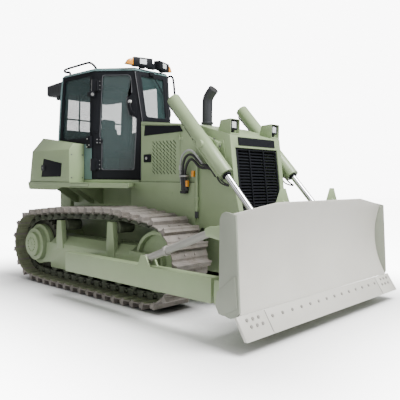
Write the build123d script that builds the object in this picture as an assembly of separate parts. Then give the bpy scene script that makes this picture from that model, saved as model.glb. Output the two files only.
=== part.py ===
from build123d import *
import os
from math import asin, atan2, cos, hypot, pi, sin, sqrt

# A crawler bulldozer of about 17 tonnes. Millimetres. +X is forward, +Y the machine's left,
# +Z up, with the ground at zero and the origin below the middle of the whole length.

# ---- Undercarriage ---------------------------------------------------------------------------
gauge = 1880              # between the middles of the two tracks
sprocket_x = -2075
sprocket_z = 575
idler_x = 695
idler_z = 592
shoe_width = 610
shoe_count = 43
shoe_pitch = 190          # between the pins of a link
shoe_plate = 14
grouser_height = 68
grouser_tip = 14          # half its thickness at the tip
grouser_root = 26         # half its thickness at the plate
grouser_place = 0.72      # along its link, from the middle at 0 to a pin at 1
pin_to_shoe = 62          # from a link's pin out to the shoe's underside
pin_to_tread = 40         # from a link's pin in to the face that the rollers run on
link_width = 44
link_offset = 84          # from the middle of the chain to the middle of a link strand
bushing_radius = 30
chain_joints = [3, 14, 25, 36]    # links at which the chain is built up from its four lengths
joint_slit = 0.6
sprocket_pitch_radius = 410
sprocket_teeth = 27       # a bushing lies in every second gap
sprocket_width = 62
idler_tread_radius = 384
roller_radius = 96
roller_half = 124         # half a roller's length
roller_count = 7
roller_first_x = -1640
roller_spacing = 318
carrier_radius = 84
carrier_places = [(-1325, 925), (-75, 976)]        # (x, z) of the two carrier rollers
wheel_sides = 36          # flats on a large wheel, and on a roller below
roller_sides = 14
pin_sides = 10
running_gap = 0.3         # between a track link and what it runs on
roller_slack = 3          # a straight link cuts the corner over a roller by this
carrier_slack = 10        # the same over a carrier roller, where the chain bends more

frame_inner = 760         # track frame, from the machine's middle plane
frame_shelf = 1010
frame_outer = 1130
frame_bottom = 395
frame_shoulder = 640
frame_top = 752
frame_rear_x = -1632
frame_front_x = 262
frame_plate = 45          # side plates that carry the idler and the final drive's outer end
roller_guard = 22         # plates below the frame that hold the roller axles
roller_guard_bottom = 262
hub_face = 1212           # final drive's cover, from the machine's middle plane

# ---- Hull ------------------------------------------------------------------------------------
hull_half = 372
hull_bottom = 430
hull_top = 1100
hull_rear_x = -2190
hull_front_x = 1440
drawbar_pin_radius = 27
drawbar_plate = 40
drawbar_gap = 110
drawbar_pin_x = -2510
drawbar_z = 560

# ---- Engine housing --------------------------------------------------------------------------
hood_half = 525
hood_rear_x = -215
nose_rear_x = 872
nose_top_x = 1437
nose_top_z = 2174
hood_rear_z = 2443
hood_nose_z = 2337
seam_z = 1587             # bottom of the engine doors, top of the skirts
skirt_out = 35            # from the hood's side out to a skirt's face
skirt_bottom = 1000
sheet = 8
panel_gap = 5             # around a hinged panel
door_front_x = 575        # front edge of an engine door
engine_hinge_out = 14     # engine door's hinge line, out from the door's face
engine_hinge_radius = 9
engine_hinge_heights = [1700, 2180]
engine_hinge_half = 35
grille_inset = 85         # from the hood's side in to the grille's opening
grille_bottom = 1170
grille_top = 2019
louvre_rows = 22
slot_columns = 7
slot_rows = 9
slot_front_x = 507        # the field of slots in an engine door
slot_rear_x = 20
slot_low_z = 1693
slot_high_z = 2148
slot_length = 74
slot_width = 15
engine_rear_x = -120
engine_front_x = 800
engine_half = 330
radiator_rear_x = 1120
radiator_front_x = 1230
radiator_half = 400
radiator_top = 2080
stack_x = 581
stack_radius = 60
stack_base_z = 2050
stack_bend_z = 2738
lamp_inset = 100          # from the hood's side in to the middle of a headlamp
lamp_half = 90
lamp_rear_x = 1235
lamp_top_z = 2370
lamp_recess = 52
lamp_wall = 8

# ---- Fenders and tanks -----------------------------------------------------------------------
fender_outer = 1050
fender_rear_x = -2465
fender_front_x = 203
fender_top = 1565
fender_plate = 50
tank_outer = 1030
tank_inner = 762
tank_fold = 830           # where the sloping top meets the flat top, from the middle plane
tank_front_x = -1275
rear_tank_rear_x = -2440
rear_tank_top = 2200
tank_side_z = 2060        # top of its upright side
tank_rear_z = 2320        # height that its top slopes down from, towards the front
skirt_rear_x = -395
cab_base_half = 462

# ---- Cab -------------------------------------------------------------------------------------
cab_floor_z = 1610
cab_top_z = 3250
cab_front_x = -350
cab_front_half = 450
cab_pillar_x = -1075
cab_pillar_half = 752
cab_rear_x = -2060
cab_wall = 50
windshield_rake = 150     # how far the cab's front leans back over its height
door_rake = 60
quarter_rake = 50
rear_rake = 85
post = 62                 # width of a post beside an opening
door_gap = 6
hinge_out = 24            # cab door's hinge line, out from the door's face
hinge_radius = 14
hinge_leaf = 12           # thickness of a hinge's flat
hinge_shares = [0.16, 0.46, 0.84]   # of the cab's height, up the door's hinge line
hinge_half = 45
hinge_gap = 0.9           # between the two halves of a hinge
leaf_setback = 3          # a hinge's flats end short of the knuckles by this
glass_thickness = 6
glass_fit = 0.3
roof_thickness = 48
air_rear_x = -2474        # the air unit on the back of the cab
air_half = 620

# ---- Blade and its lift ----------------------------------------------------------------------
arm_pivot_x = -470
arm_pivot_z = 508
arm_inset = 57            # from the blade's side in to a push arm's outer face
arm_width = 140
arm_rear_x = -578
arm_front_x = 2058
arm_bottom = 380
arm_ball_radius = 80
arm_ball_depth = 60        # how far the trunnion reaches into the arm
blade_box_x = 2150        # rear face of the box section at the foot of the blade
brace_rear = (1016, 712)  # (x, z) of the pin on the arm
brace_front = (2010, 1095)  # (x, z) of the pin on the blade
brace_radius = 42
brace_eye_radius = 50
brace_eye_half = 44
brace_pin_radius = 20
arm_top = 636
blade_half = 1596
blade_bottom = 132
blade_edge_x = 2625
blade_top_x = 2438
blade_top_z = 1290
blade_mid_share = 0.571   # where its sloping top corners start, as a share of its half width
blade_mid_z = 1394
edge_out = 69             # from the blade's side out to the end of the cutting edge
end_plate = 24
skin = 26
blade_curve_x = 2330      # how far back the moldboard is hollowed
blade_curve_z = 800
edge_top_x = 2490
edge_top_z = 345
bit_length = 430
rib_shares = [-0.74, -0.238, 0.238, 0.74]      # of the blade's half width
guard_share = 0.339       # middle of a guard above the blade, of the same
guard_half = 177          # half a guard's width at its foot, and at its top
guard_top_half = 50
guard_x = 2232
guard_top_z = 1530
trunnion_x = 1190
trunnion_z = 2052
rod_pin_x = 2222
rod_pin_z = 945
cylinder_out = 175        # from the hood's side out to a lift cylinder's axis
barrel_radius = 86
bore_radius = 68
rod_radius = 38
barrel_above = 823        # barrel beyond its trunnion, away from the rod
barrel_below = 504        # barrel from its trunnion to the gland end
barrel_step = -75         # where its thicker lower part starts
rod_eye_radius = 60
rod_eye_half = 42
ear_gap = 8               # between the rod's eye and the ear beside it


# widths that follow the hood's and the blade's
skirt_half = hood_half + skirt_out
grille_half = hood_half - grille_inset
lamp_y = hood_half - lamp_inset
cylinder_y = hood_half + cylinder_out
arm_outer = blade_half - arm_inset
arm_inner = arm_outer - arm_width
edge_half = blade_half + edge_out
blade_mid_half = blade_half * blade_mid_share

# ---- Shapes that many pieces share -----------------------------------------------------------
def block(x_from, x_to, y_from, y_to, z_from, z_to):
    size = (x_to - x_from, y_to - y_from, z_to - z_from)
    middle = ((x_from + x_to) / 2, (y_from + y_to) / 2, (z_from + z_to) / 2)
    return Pos(*middle) * Box(*size)


def side_plate(outline, y_from, y_to):
    """A plate whose outline is given as (x, z) points."""
    face = make_face(Polyline(*[(x, y_from, z) for x, z in outline], close=True))
    return extrude(face, amount=y_to - y_from, dir=(0, 1, 0))


def deck(outline, z_from, z_to):
    """A plate whose outline is given as (x, y) points."""
    face = make_face(Polyline(*[(x, y, z_from) for x, y in outline], close=True))
    return extrude(face, amount=z_to - z_from, dir=(0, 0, 1))


def cross_section(outline, x_from, x_to):
    """A bar along X whose section is given as (y, z) points."""
    face = make_face(Polyline(*[(x_from, y, z) for y, z in outline], close=True))
    return extrude(face, amount=x_to - x_from, dir=(1, 0, 0))


def bar(start, end, radius):
    """A round bar between two points."""
    start, end = Vector(*start), Vector(*end)
    return Solid.make_cylinder(radius, (end - start).length, Plane(start, z_dir=end - start))


def disc(x, y_from, y_to, z, radius):
    """A round piece about an axle that lies across the machine."""
    low, high = min(y_from, y_to), max(y_from, y_to)
    return bar((x, low, z), (x, high, z), radius)


def flat_sided(start, end, radius, sides=pin_sides):
    """A bar between two points with flats in place of a round."""
    start, end = Vector(*start), Vector(*end)
    section = Plane(start, z_dir=end - start) * RegularPolygon(radius, sides)
    return extrude(section, amount=(end - start).length)


def wheel(x, y_from, y_to, z, radius, sides=wheel_sides):
    """A flat-sided disc about an axle that lies across the machine."""
    low, high = min(y_from, y_to), max(y_from, y_to)
    return flat_sided((x, low, z), (x, high, z), radius, sides)


def mirrored(solid):
    return mirror(solid, Plane.XZ)


def both_sides(solid):
    return Compound(children=[solid, mirrored(solid)])


def gather(*solids):
    """Several solids that don't touch, as one node."""
    pieces = []
    for solid in solids:
        pieces.extend(solid.solids())
    return Compound(children=pieces)


def save(name, shape):
    export_step(shape, os.path.join("parts", name + ".step"))


os.makedirs("parts", exist_ok=True)

# ---- Track: the closed line through the link pins --------------------------------------------
lowest_pin_z = grouser_height + shoe_plate + pin_to_shoe
roller_z = lowest_pin_z + pin_to_tread + roller_slack + roller_radius
roller_last_x = roller_first_x + (roller_count - 1) * roller_spacing
turn_radius = roller_radius + pin_to_tread + roller_slack
idler_pitch_radius = hypot(idler_tread_radius + pin_to_tread + running_gap, shoe_pitch / 2)
carrier_pitch_radius = carrier_radius + pin_to_tread + carrier_slack

# (x, z, radius of the pins' line) of each wheel that the chain bends around, anticlockwise
# when seen from the machine's right side
turns = [(sprocket_x, sprocket_z, sprocket_pitch_radius),
         (roller_first_x, lowest_pin_z + turn_radius, turn_radius),
         (roller_last_x, lowest_pin_z + turn_radius, turn_radius),
         (idler_x, idler_z, idler_pitch_radius),
         (*carrier_places[1], carrier_pitch_radius),
         (*carrier_places[0], carrier_pitch_radius)]


def chain_stretches():
    """The pins' line as (length, start x, start z, heading, radius or None) stretches."""
    headings = []
    for here, there in zip(turns, turns[1:] + turns[:1]):
        reach = hypot(there[0] - here[0], there[1] - here[1])
        straight = atan2(there[1] - here[1], there[0] - here[0])
        headings.append(straight + asin((here[2] - there[2]) / reach))
    stretches = []
    for number, (x, z, radius) in enumerate(turns):
        arrive, leave = headings[number - 1], headings[number]
        swing = (leave - arrive) % (2 * pi)
        stretches.append((swing * radius, x, z, arrive, radius))
        there = turns[(number + 1) % len(turns)]
        start = (x + radius * sin(leave), z - radius * cos(leave))
        end = (there[0] + there[2] * sin(leave), there[1] - there[2] * cos(leave))
        run = hypot(end[0] - start[0], end[1] - start[1])
        stretches.append((run, *start, leave, None))
    return stretches


def chain_point(distance, stretches):
    """The point at a distance along the pins' line."""
    for length, x, z, heading, radius in stretches:
        if distance <= length:
            if radius is None:
                return (x + distance * cos(heading), z + distance * sin(heading))
            turned = heading + distance / radius
            return (x + radius * sin(turned), z - radius * cos(turned))
        distance -= length
    return chain_point(distance, stretches)


stretches = chain_stretches()
chain_length = sum(stretch[0] for stretch in stretches)
pins = [chain_point(chain_length * number / shoe_count, stretches) for number in range(shoe_count)]


def along_links(offsets):
    """For every link, points given as (along, out) from the middle of the link."""
    outline = []
    for here, there in zip(pins, pins[1:] + pins[:1]):
        reach = hypot(there[0] - here[0], there[1] - here[1])
        along_x, along_z = (there[0] - here[0]) / reach, (there[1] - here[1]) / reach
        middle_x, middle_z = (here[0] + there[0]) / 2, (here[1] + there[1]) / 2
        for share, out in offsets:
            along = share * reach / 2
            outline.append((middle_x + along * along_x + out * along_z,
                            middle_z + along * along_z - out * along_x))
    return outline


def chain_slits(low, high):
    """Thin cuts across the chain, which part it into its lengths."""
    inner, outer = -pin_to_tread - bushing_radius, pin_to_shoe + shoe_plate + grouser_height + 20
    cuts = []
    for number in chain_joints:
        here, there = pins[number], pins[number + 1]
        reach = hypot(there[0] - here[0], there[1] - here[1])
        along_x, along_z = (there[0] - here[0]) / reach, (there[1] - here[1]) / reach
        corners = []
        for along, out in ((0, inner), (joint_slit, inner), (joint_slit, outer), (0, outer)):
            along += shoe_pitch / 5
            corners.append((here[0] + along * along_x + out * along_z,
                            here[1] + along * along_z - out * along_x))
        cuts.append(side_plate(corners, low, high))
    return cuts


def track(middle_y):
    shoe_top = pin_to_shoe + shoe_plate
    pitch = chain_length / shoe_count
    root, tip = grouser_root / pitch, grouser_tip / pitch
    outer = along_links([(-0.9, shoe_top),
                         (grouser_place - root, shoe_top),
                         (grouser_place - tip, shoe_top + grouser_height),
                         (grouser_place + tip, shoe_top + grouser_height),
                         (grouser_place + root, shoe_top)])
    inner = along_links([(-0.5, pin_to_shoe), (0.5, pin_to_shoe)])
    half = shoe_width / 2
    chain = side_plate(outer, middle_y - half, middle_y + half)
    chain -= side_plate(inner, middle_y - half, middle_y + half)
    tread = along_links([(-0.55, -pin_to_tread), (0.55, -pin_to_tread)])
    rail_top = along_links([(-0.5, pin_to_shoe + shoe_plate / 2), (0.5, pin_to_shoe + shoe_plate / 2)])
    for side in (-1, 1):
        low = middle_y + side * link_offset - link_width / 2
        rail = side_plate(rail_top, low, low + link_width)
        rail -= side_plate(tread, low, low + link_width)
        chain += rail
    reach = link_offset - link_width / 2
    chain += [wheel(x, middle_y - reach, middle_y + reach, z, bushing_radius, 6) for x, z in pins]
    return chain - chain_slits(middle_y - half - 1, middle_y + half + 1)


middle = gauge / 2
save("track_right", track(-middle))
save("track_left", track(middle))

# ---- Track frame, rollers, idler and sprocket ------------------------------------------------
frame_section = [(-frame_inner, frame_bottom), (-frame_inner, frame_top), (-frame_shelf, frame_top),
                 (-frame_outer, frame_shoulder), (-frame_outer, frame_bottom)]
track_frame = cross_section(frame_section, frame_rear_x, frame_front_x)
for outside, inside in ((-frame_outer, -frame_outer + roller_guard),
                        (-frame_inner - roller_guard, -frame_inner)):
    track_frame += block(frame_rear_x, frame_front_x, outside, inside, roller_guard_bottom, frame_bottom)
post_width = 120
post_thick = 75
for x, z in carrier_places:
    foot = [(x - 110, frame_shoulder - 60), (x + 60, frame_shoulder - 60), (x + 20, z + 70),
            (x - post_width + 20, z + 70), (x - post_width, frame_top)]
    track_frame += side_plate(foot, -frame_outer - 20, -frame_outer - 20 + post_thick)
yoke_half = 95
yoke = [(frame_front_x, idler_z - 160), (idler_x + yoke_half, idler_z - yoke_half),
        (idler_x + yoke_half, idler_z + yoke_half), (frame_front_x, frame_shoulder + 60)]
for outside, inside in ((-frame_outer, -frame_outer + frame_plate),
                        (-frame_inner - frame_plate, -frame_inner)):
    track_frame += side_plate(yoke, outside, inside)
axle_seat_radius = 52
track_frame -= wheel(idler_x, -frame_outer - 60, -frame_inner + 60, idler_z, axle_seat_radius, roller_sides)
drive_flange_radius = 320
tail = [(frame_rear_x, frame_bottom - 60), (sprocket_x + 90, 300), (sprocket_x - 20, 380),
        (sprocket_x - 20, sprocket_z), (frame_rear_x, frame_shoulder)]
track_frame += side_plate(tail, -frame_outer, -frame_outer + frame_plate)
drive_gap = 5
track_frame -= wheel(sprocket_x, -frame_outer - 1, -frame_outer + frame_plate + 1, sprocket_z,
                     drive_flange_radius)
arm_ball_face = arm_inner + arm_ball_depth
track_frame += wheel(arm_pivot_x, -frame_outer, -arm_ball_face, arm_pivot_z, arm_ball_radius, 2 * pin_sides)
save("track_frames", both_sides(track_frame))

idler_half = 118
idler_web = 48            # half the thickness of the idler's web between its rims
idler_rim = 46
idler_flange = 22
idler = wheel(idler_x, -middle - idler_half, -middle + idler_half, idler_z, idler_tread_radius)
idler += wheel(idler_x, -middle - 44, -middle + 44, idler_z, idler_tread_radius + idler_flange)
for side in (-1, 1):
    face, web = -middle + side * idler_half, -middle + side * idler_web
    idler -= wheel(idler_x, face, web, idler_z, idler_tread_radius - idler_rim)
    idler += wheel(idler_x, face, web, idler_z, 125, 2 * pin_sides)
idler += wheel(idler_x, -frame_outer, -frame_inner, idler_z, axle_seat_radius - running_gap, roller_sides)
save("idlers", both_sides(idler))


def roller(x, z, radius, axle_outer, axle_inner):
    """A roller on its axle."""
    body = wheel(x, -middle - roller_half, -middle + roller_half, z, radius, roller_sides)
    return body + wheel(x, axle_outer, axle_inner, z, 34, pin_sides)


rollers = []
for number in range(roller_count):
    rollers.append(roller(roller_first_x + number * roller_spacing, roller_z, roller_radius,
                          -frame_outer + roller_guard, -frame_inner - roller_guard))
for x, z in carrier_places:
    rollers.append(roller(x, z, carrier_radius, -frame_outer - 20 + post_thick, -middle + 130))
save("rollers", gather(*rollers, *[mirrored(piece) for piece in rollers]))

drive_bore = 200
drive_dome = -middle - sprocket_width / 2 - 6     # outer side of the sprocket
dome_depth = hub_face + drive_dome - 55
drive = wheel(sprocket_x, -hull_half, -middle + sprocket_width / 2 + 6, sprocket_z, 250)
drive += wheel(sprocket_x, -hull_half, drive_dome, sprocket_z, drive_bore)
drive += wheel(sprocket_x, drive_dome, drive_dome - 90, sprocket_z, drive_flange_radius - drive_gap)
drive += wheel(sprocket_x, drive_dome - 90, drive_dome - dome_depth, sprocket_z, 255)
drive += wheel(sprocket_x, drive_dome - dome_depth, -hub_face, sprocket_z, 190)
save("final_drives", both_sides(drive))

# (share of a tooth's pitch from the middle of a gap, radius) along the sprocket's edge
tooth_line = [(-0.20, sprocket_pitch_radius - 35), (0.20, sprocket_pitch_radius - 35),
              (0.38, sprocket_pitch_radius), (0.45, sprocket_pitch_radius + 20),
              (0.55, sprocket_pitch_radius + 20), (0.62, sprocket_pitch_radius)]
tooth_pitch = 2 * pi / sprocket_teeth
gap_start = atan2(pins[3][1] - sprocket_z, pins[3][0] - sprocket_x)
sprocket_edge = []
for tooth in range(sprocket_teeth):
    for share, radius in tooth_line:
        angle = gap_start + (tooth + share) * tooth_pitch
        sprocket_edge.append((sprocket_x + radius * cos(angle), sprocket_z + radius * sin(angle)))
sprocket = side_plate(sprocket_edge, -middle - sprocket_width / 2, -middle + sprocket_width / 2)
sprocket -= wheel(sprocket_x, -middle - 40, -middle + 40, sprocket_z, drive_bore + running_gap)
save("sprockets", both_sides(sprocket))

# ---- Hull, with the drawbar behind it --------------------------------------------------------
hull_outline = [(hull_rear_x, 640), (hull_rear_x + 170, hull_bottom), (hull_front_x - 200, hull_bottom),
                (hull_front_x, 560), (hull_front_x, 980), (hull_front_x - 60, hull_top),
                (hull_rear_x, hull_top)]
hull = side_plate(hull_outline, -hull_half, hull_half)
cross_bar_x = 330
cross_bar_radius = 70
hull += wheel(cross_bar_x, -frame_inner + running_gap, frame_inner - running_gap, frame_shoulder,
              cross_bar_radius, roller_sides)
save("main_frame", hull)

drawbar = block(hull_rear_x - 60, hull_rear_x, -180, 180, 460, 700)
for side in (-1, 1):
    plate_z = drawbar_z + side * (drawbar_gap + drawbar_plate) / 2
    plate = block(drawbar_pin_x, hull_rear_x - 50, -95, 95,
                  plate_z - drawbar_plate / 2, plate_z + drawbar_plate / 2)
    plate += flat_sided((drawbar_pin_x, 0, plate_z - drawbar_plate / 2),
                        (drawbar_pin_x, 0, plate_z + drawbar_plate / 2), 95, 2 * pin_sides)
    drawbar += plate
drawbar -= bar((drawbar_pin_x, 0, drawbar_z - 200), (drawbar_pin_x, 0, drawbar_z + 200), drawbar_pin_radius)
save("drawbar", drawbar)

# ---- Engine, skirts, hood, doors and nose ----------------------------------------------------
save("engine_block", block(engine_rear_x, engine_front_x, -engine_half, engine_half, hull_top, stack_base_z))
save("radiator", block(radiator_rear_x, radiator_front_x, -radiator_half, radiator_half,
                       hull_top, radiator_top))

skirt = block(skirt_rear_x, nose_rear_x, -skirt_half, -skirt_half + sheet, skirt_bottom, seam_z - panel_gap)
skirt += block(skirt_rear_x, nose_rear_x, -skirt_half, -hull_half, skirt_bottom, skirt_bottom + sheet)
save("engine_skirts", both_sides(skirt))


def hood_height(x):
    return hood_rear_z + (hood_nose_z - hood_rear_z) * (x - hood_rear_x) / (nose_rear_x - hood_rear_x)


hood_drop = 46
hood_outline = [(hood_rear_x, hood_rear_z - hood_drop), (nose_rear_x, hood_nose_z - hood_drop),
                (nose_rear_x, hood_nose_z), (hood_rear_x, hood_rear_z)]
hood = side_plate(hood_outline, -hood_half, hood_half)
hood_inside = [(hood_rear_x, hood_rear_z - hood_drop), (nose_rear_x, hood_nose_z - hood_drop),
               (nose_rear_x, hood_nose_z - sheet), (hood_rear_x, hood_rear_z - sheet)]
hood -= side_plate(hood_inside, -hood_half + sheet, hood_half - sheet)
# a fixed side panel closes the housing between each engine door and the nose
panel_rear_x = door_front_x + panel_gap
panel = [(panel_rear_x, seam_z), (nose_rear_x, seam_z), (nose_rear_x, hood_nose_z - hood_drop),
         (panel_rear_x, hood_height(panel_rear_x) - hood_drop)]
hood += side_plate(panel, -hood_half, -hood_half + sheet) + side_plate(panel, hood_half - sheet, hood_half)
bulkhead_half = hood_half - sheet - panel_gap
hood += block(hood_rear_x, hood_rear_x + sheet, -bulkhead_half, bulkhead_half,
              seam_z, hood_rear_z - sheet / 2)
hood -= bar((stack_x, 0, hood_rear_z - 300), (stack_x, 0, hood_rear_z + 100), stack_radius + 6)
engine_hinge_x = door_front_x + panel_gap / 2
engine_hinge_y = -hood_half - engine_hinge_out


def engine_hinge(knuckle, reach, z_from, z_to):
    """One half of an engine door's hinge: a knuckle and the flat that fixes it."""
    pivot = knuckle((engine_hinge_x, engine_hinge_y, z_from), (engine_hinge_x, engine_hinge_y, z_to),
                    engine_hinge_radius)
    x_from, x_to = sorted((engine_hinge_x, engine_hinge_x + reach))
    return pivot + block(x_from, x_to, engine_hinge_y, -hood_half, z_from, z_to)


hinge_flat = 55
for z in engine_hinge_heights:
    half_hinge = engine_hinge(flat_sided, hinge_flat, z - engine_hinge_half, z)
    hood += half_hinge + mirrored(half_hinge)
save("hood", hood)

door_outline = [(hood_rear_x + 2, seam_z), (door_front_x, seam_z),
                (door_front_x, hood_height(door_front_x) - hood_drop - panel_gap),
                (hood_rear_x + 2, hood_height(hood_rear_x) - hood_drop - panel_gap)]
engine_door = side_plate(door_outline, -hood_half, -hood_half + sheet)
slot_step_x = (slot_front_x - slot_rear_x) / slot_columns
slot_step_z = (slot_high_z - slot_low_z) / slot_rows
slot_reach = slot_length / 2 * sqrt(0.5)
slot_half = slot_width / 2 * sqrt(0.5)
slots = []
for column in range(slot_columns):
    for row in range(slot_rows):
        x = slot_rear_x + (column + 0.5) * slot_step_x
        z = slot_low_z + (row + 0.5) * slot_step_z
        slot = [(x - slot_reach - slot_half, z + slot_reach - slot_half),
                (x + slot_reach - slot_half, z - slot_reach - slot_half),
                (x + slot_reach + slot_half, z - slot_reach + slot_half),
                (x - slot_reach + slot_half, z + slot_reach + slot_half)]
        slots.append(side_plate(slot, -hood_half - 1, -hood_half + sheet + 1))
engine_door -= slots
for z in engine_hinge_heights:
    engine_door += engine_hinge(bar, -hinge_flat, z + running_gap, z + engine_hinge_half)
save("engine_door_right", engine_door)
save("engine_door_left", mirrored(engine_door))

nose_outline = [(nose_rear_x, 1000), (hull_front_x + 110, 1000), (1625, 1130), (1575, 1327), (1521, 1520),
                (nose_top_x, nose_top_z), (nose_rear_x, hood_nose_z)]
nose = side_plate(nose_outline, -hood_half, hood_half)
nose -= block(nose_rear_x - 10, 1400, -hood_half + 30, hood_half - 30, 1030, 2110)
nose -= block(1200, 1700, -grille_half, grille_half, grille_bottom, grille_top)
nose -= block(nose_rear_x - 10, hull_front_x + 0.3, -hull_half - 0.3, hull_half + 0.3, 900, hull_top)
save("radiator_guard", nose)


def nose_front(z):
    """How far forward the nose's front face stands at a height."""
    return 1521 + (nose_top_x - 1521) * (z - 1520) / (nose_top_z - 1520)


def nose_plate(z_from, z_to, y_from, y_to, depth_from, depth_to):
    """A plate that follows the nose's front face, between two depths behind it."""
    outline = [(nose_front(z_from) - depth_to, z_from), (nose_front(z_from) - depth_from, z_from),
               (nose_front(z_to) - depth_from, z_to), (nose_front(z_to) - depth_to, z_to)]
    return side_plate(outline, y_from, y_to)


louvre_pitch = (grille_top - grille_bottom) / louvre_rows
grille_setback = 30
grille_fit = 0.3
grille_bar = 12
grille_edge = grille_half - grille_fit
grille_low = grille_bottom + grille_fit
grille_high = grille_top - grille_fit
# (middle of an upright from the middle plane, its width)
uprights = [(-grille_edge + 30, 60), (-grille_half / 3, 18), (grille_half / 3, 18), (grille_edge - 15, 30)]
grille_bars = []
for middle_y, width in uprights:
    grille_bars.append(nose_plate(grille_low, grille_high, middle_y - width / 2, middle_y + width / 2,
                                  grille_setback - grille_bar, grille_setback))
for z_from, z_to in ((grille_low, grille_low + 26), (grille_high - 26, grille_high)):
    grille_bars.append(nose_plate(z_from, z_to, -grille_edge, grille_edge,
                                  grille_setback - grille_bar, grille_setback))
for row in range(louvre_rows):
    z = grille_bottom + (row + 0.5) * louvre_pitch
    x = nose_front(z) - grille_setback
    slat = [(x - 34, z + 12), (x + 4, z - 12), (x + 4, z - 7), (x - 34, z + 17)]
    grille_bars.append(side_plate(slat, -grille_edge, grille_edge))
grille = grille_bars[0] + grille_bars[1:]
cover = nose_plate(2050, 2151, -384, 384, -6, 0)
save("grille", gather(grille, cover))

stack_path = Polyline((stack_x, 0, stack_base_z), (stack_x, 0, stack_bend_z),
                      (stack_x + 180, 0, stack_bend_z + 168))
stack_ring = Pos(stack_x, 0, stack_base_z) * Circle(stack_radius)
stack = sweep(stack_ring, path=stack_path, transition=Transition.RIGHT)
stack -= bar((stack_x + 60, 0, stack_bend_z + 56), (stack_x + 190, 0, stack_bend_z + 177), stack_radius - 6)
mouth_cut = [(stack_x + 159, stack_bend_z + 66), (stack_x + 106, stack_bend_z + 166),
             (stack_x + 106, stack_bend_z + 400), (stack_x + 400, stack_bend_z + 400),
             (stack_x + 400, stack_bend_z + 66)]
stack -= side_plate(mouth_cut, -stack_radius - 10, stack_radius + 10)
save("exhaust_stack", stack)


def nose_height(x):
    return hood_nose_z + (nose_top_z - hood_nose_z) * (x - nose_rear_x) / (nose_top_x - nose_rear_x)


lamp_front_x = nose_top_x - 1
housing = side_plate([(lamp_rear_x, nose_height(lamp_rear_x)), (lamp_front_x, nose_height(lamp_front_x)),
                      (lamp_front_x, lamp_top_z), (lamp_rear_x + 35, lamp_top_z - 10)],
                     -lamp_y - lamp_half, -lamp_y + lamp_half)
recess_from = lamp_front_x - lamp_recess
housing -= block(recess_from, lamp_front_x + 1,
                 -lamp_y - lamp_half + lamp_wall, -lamp_y + lamp_half - lamp_wall,
                 nose_height(recess_from) + lamp_wall, lamp_top_z - lamp_wall)
save("headlamps", both_sides(housing))
lamp_z = lamp_top_z - 72
lens = block(recess_from, recess_from + 34, -lamp_y - 44, -lamp_y + 44, lamp_z - 44, lamp_z + 44)
save("lamp_units", both_sides(lens))

# ---- Fenders, tanks --------------------------------------------------------------------------
fender_plan = [(fender_rear_x, -cab_base_half), (skirt_rear_x, -cab_base_half), (skirt_rear_x, -skirt_half),
               (fender_front_x, -skirt_half), (fender_front_x, -fender_outer), (fender_rear_x, -fender_outer)]
fender = deck(fender_plan, fender_top - fender_plate, fender_top)
# (x, how far in it reaches) of each gusset below the fender
gussets = [(-1880, cab_base_half), (-1450, cab_base_half), (-1200, cab_base_half), (130, skirt_half)]
for x, inner in gussets:
    gusset = [(-fender_outer + 60, fender_top - fender_plate), (-inner, fender_top - fender_plate),
              (-inner, 1230), (-inner - 60, 1230)]
    fender += cross_section(gusset, x - 8, x + 8)
save("fenders", both_sides(fender))

tank_section = [(-tank_outer, fender_top), (-tank_inner, fender_top), (-tank_inner, tank_rear_z),
                (-tank_fold, tank_rear_z), (-tank_outer, tank_side_z)]
tank = cross_section(tank_section, fender_rear_x, tank_front_x)
top_cut = [(-2600, tank_rear_z), (-1100, 2130), (-1100, 2600), (-2600, 2600)]
tank -= side_plate(top_cut, -1200, -500)
rear_cut = [(-2600, 1500), (-2465, 1500), (-2300, 2400), (-2600, 2400)]
tank -= side_plate(rear_cut, -1200, -500)
hatch_outline = [(-2089, 1645), (-1512, 1652), (-1483, 1856), (-2016, 1940)]
hatch_depth = 12
tank -= side_plate(hatch_outline, -tank_outer - 1, -tank_outer + hatch_depth)
save("side_tanks", both_sides(tank))
hatch_middle_x = sum(x for x, z in hatch_outline) / 4
hatch_middle_z = sum(z for x, z in hatch_outline) / 4
hatch_share = 0.985       # a hatch's size as a share of its recess
hatch = [(hatch_middle_x + (x - hatch_middle_x) * hatch_share,
          hatch_middle_z + (z - hatch_middle_z) * hatch_share) for x, z in hatch_outline]
save("tank_hatches", both_sides(side_plate(hatch, -tank_outer + 3, -tank_outer + hatch_depth)))

rear_tank_front_x = cab_rear_x - 60
rear_tank = block(rear_tank_rear_x, rear_tank_front_x, -cab_base_half, cab_base_half, hull_top, fender_top)
rear_tank += side_plate([(rear_tank_rear_x, fender_top), (rear_tank_front_x, fender_top),
                         (rear_tank_front_x, rear_tank_top), (rear_tank_rear_x + 110, rear_tank_top)],
                        -tank_inner + 4, tank_inner - 4)
save("rear_tank", rear_tank)

# ---- Cab -------------------------------------------------------------------------------------
door_run = hypot(cab_front_x - cab_pillar_x, cab_pillar_half - cab_front_half)
door_normal = ((cab_pillar_half - cab_front_half) / door_run, (cab_front_x - cab_pillar_x) / door_run)


def cab_plan(share, inset=0.0):
    """The cab's plan on the left side at a share of its height: front, pillar and rear corners."""
    front_x = cab_front_x - windshield_rake * share - inset
    rear_x = cab_rear_x + rear_rake * share + inset
    pillar_half = cab_pillar_half - quarter_rake * share - inset
    reach = door_normal[0] * cab_front_x + door_normal[1] * cab_front_half - door_rake * share - inset
    front_half = (reach - door_normal[0] * front_x) / door_normal[1]
    pillar_x = (reach - door_normal[1] * pillar_half) / door_normal[0]
    return [(front_x, front_half), (pillar_x, pillar_half), (rear_x, pillar_half)]


def cab_ring(share, z, inset=0.0):
    left = cab_plan(share, inset)
    right = [(x, -y) for x, y in reversed(left)]
    return [(x, y, z) for x, y in left + right]


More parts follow.
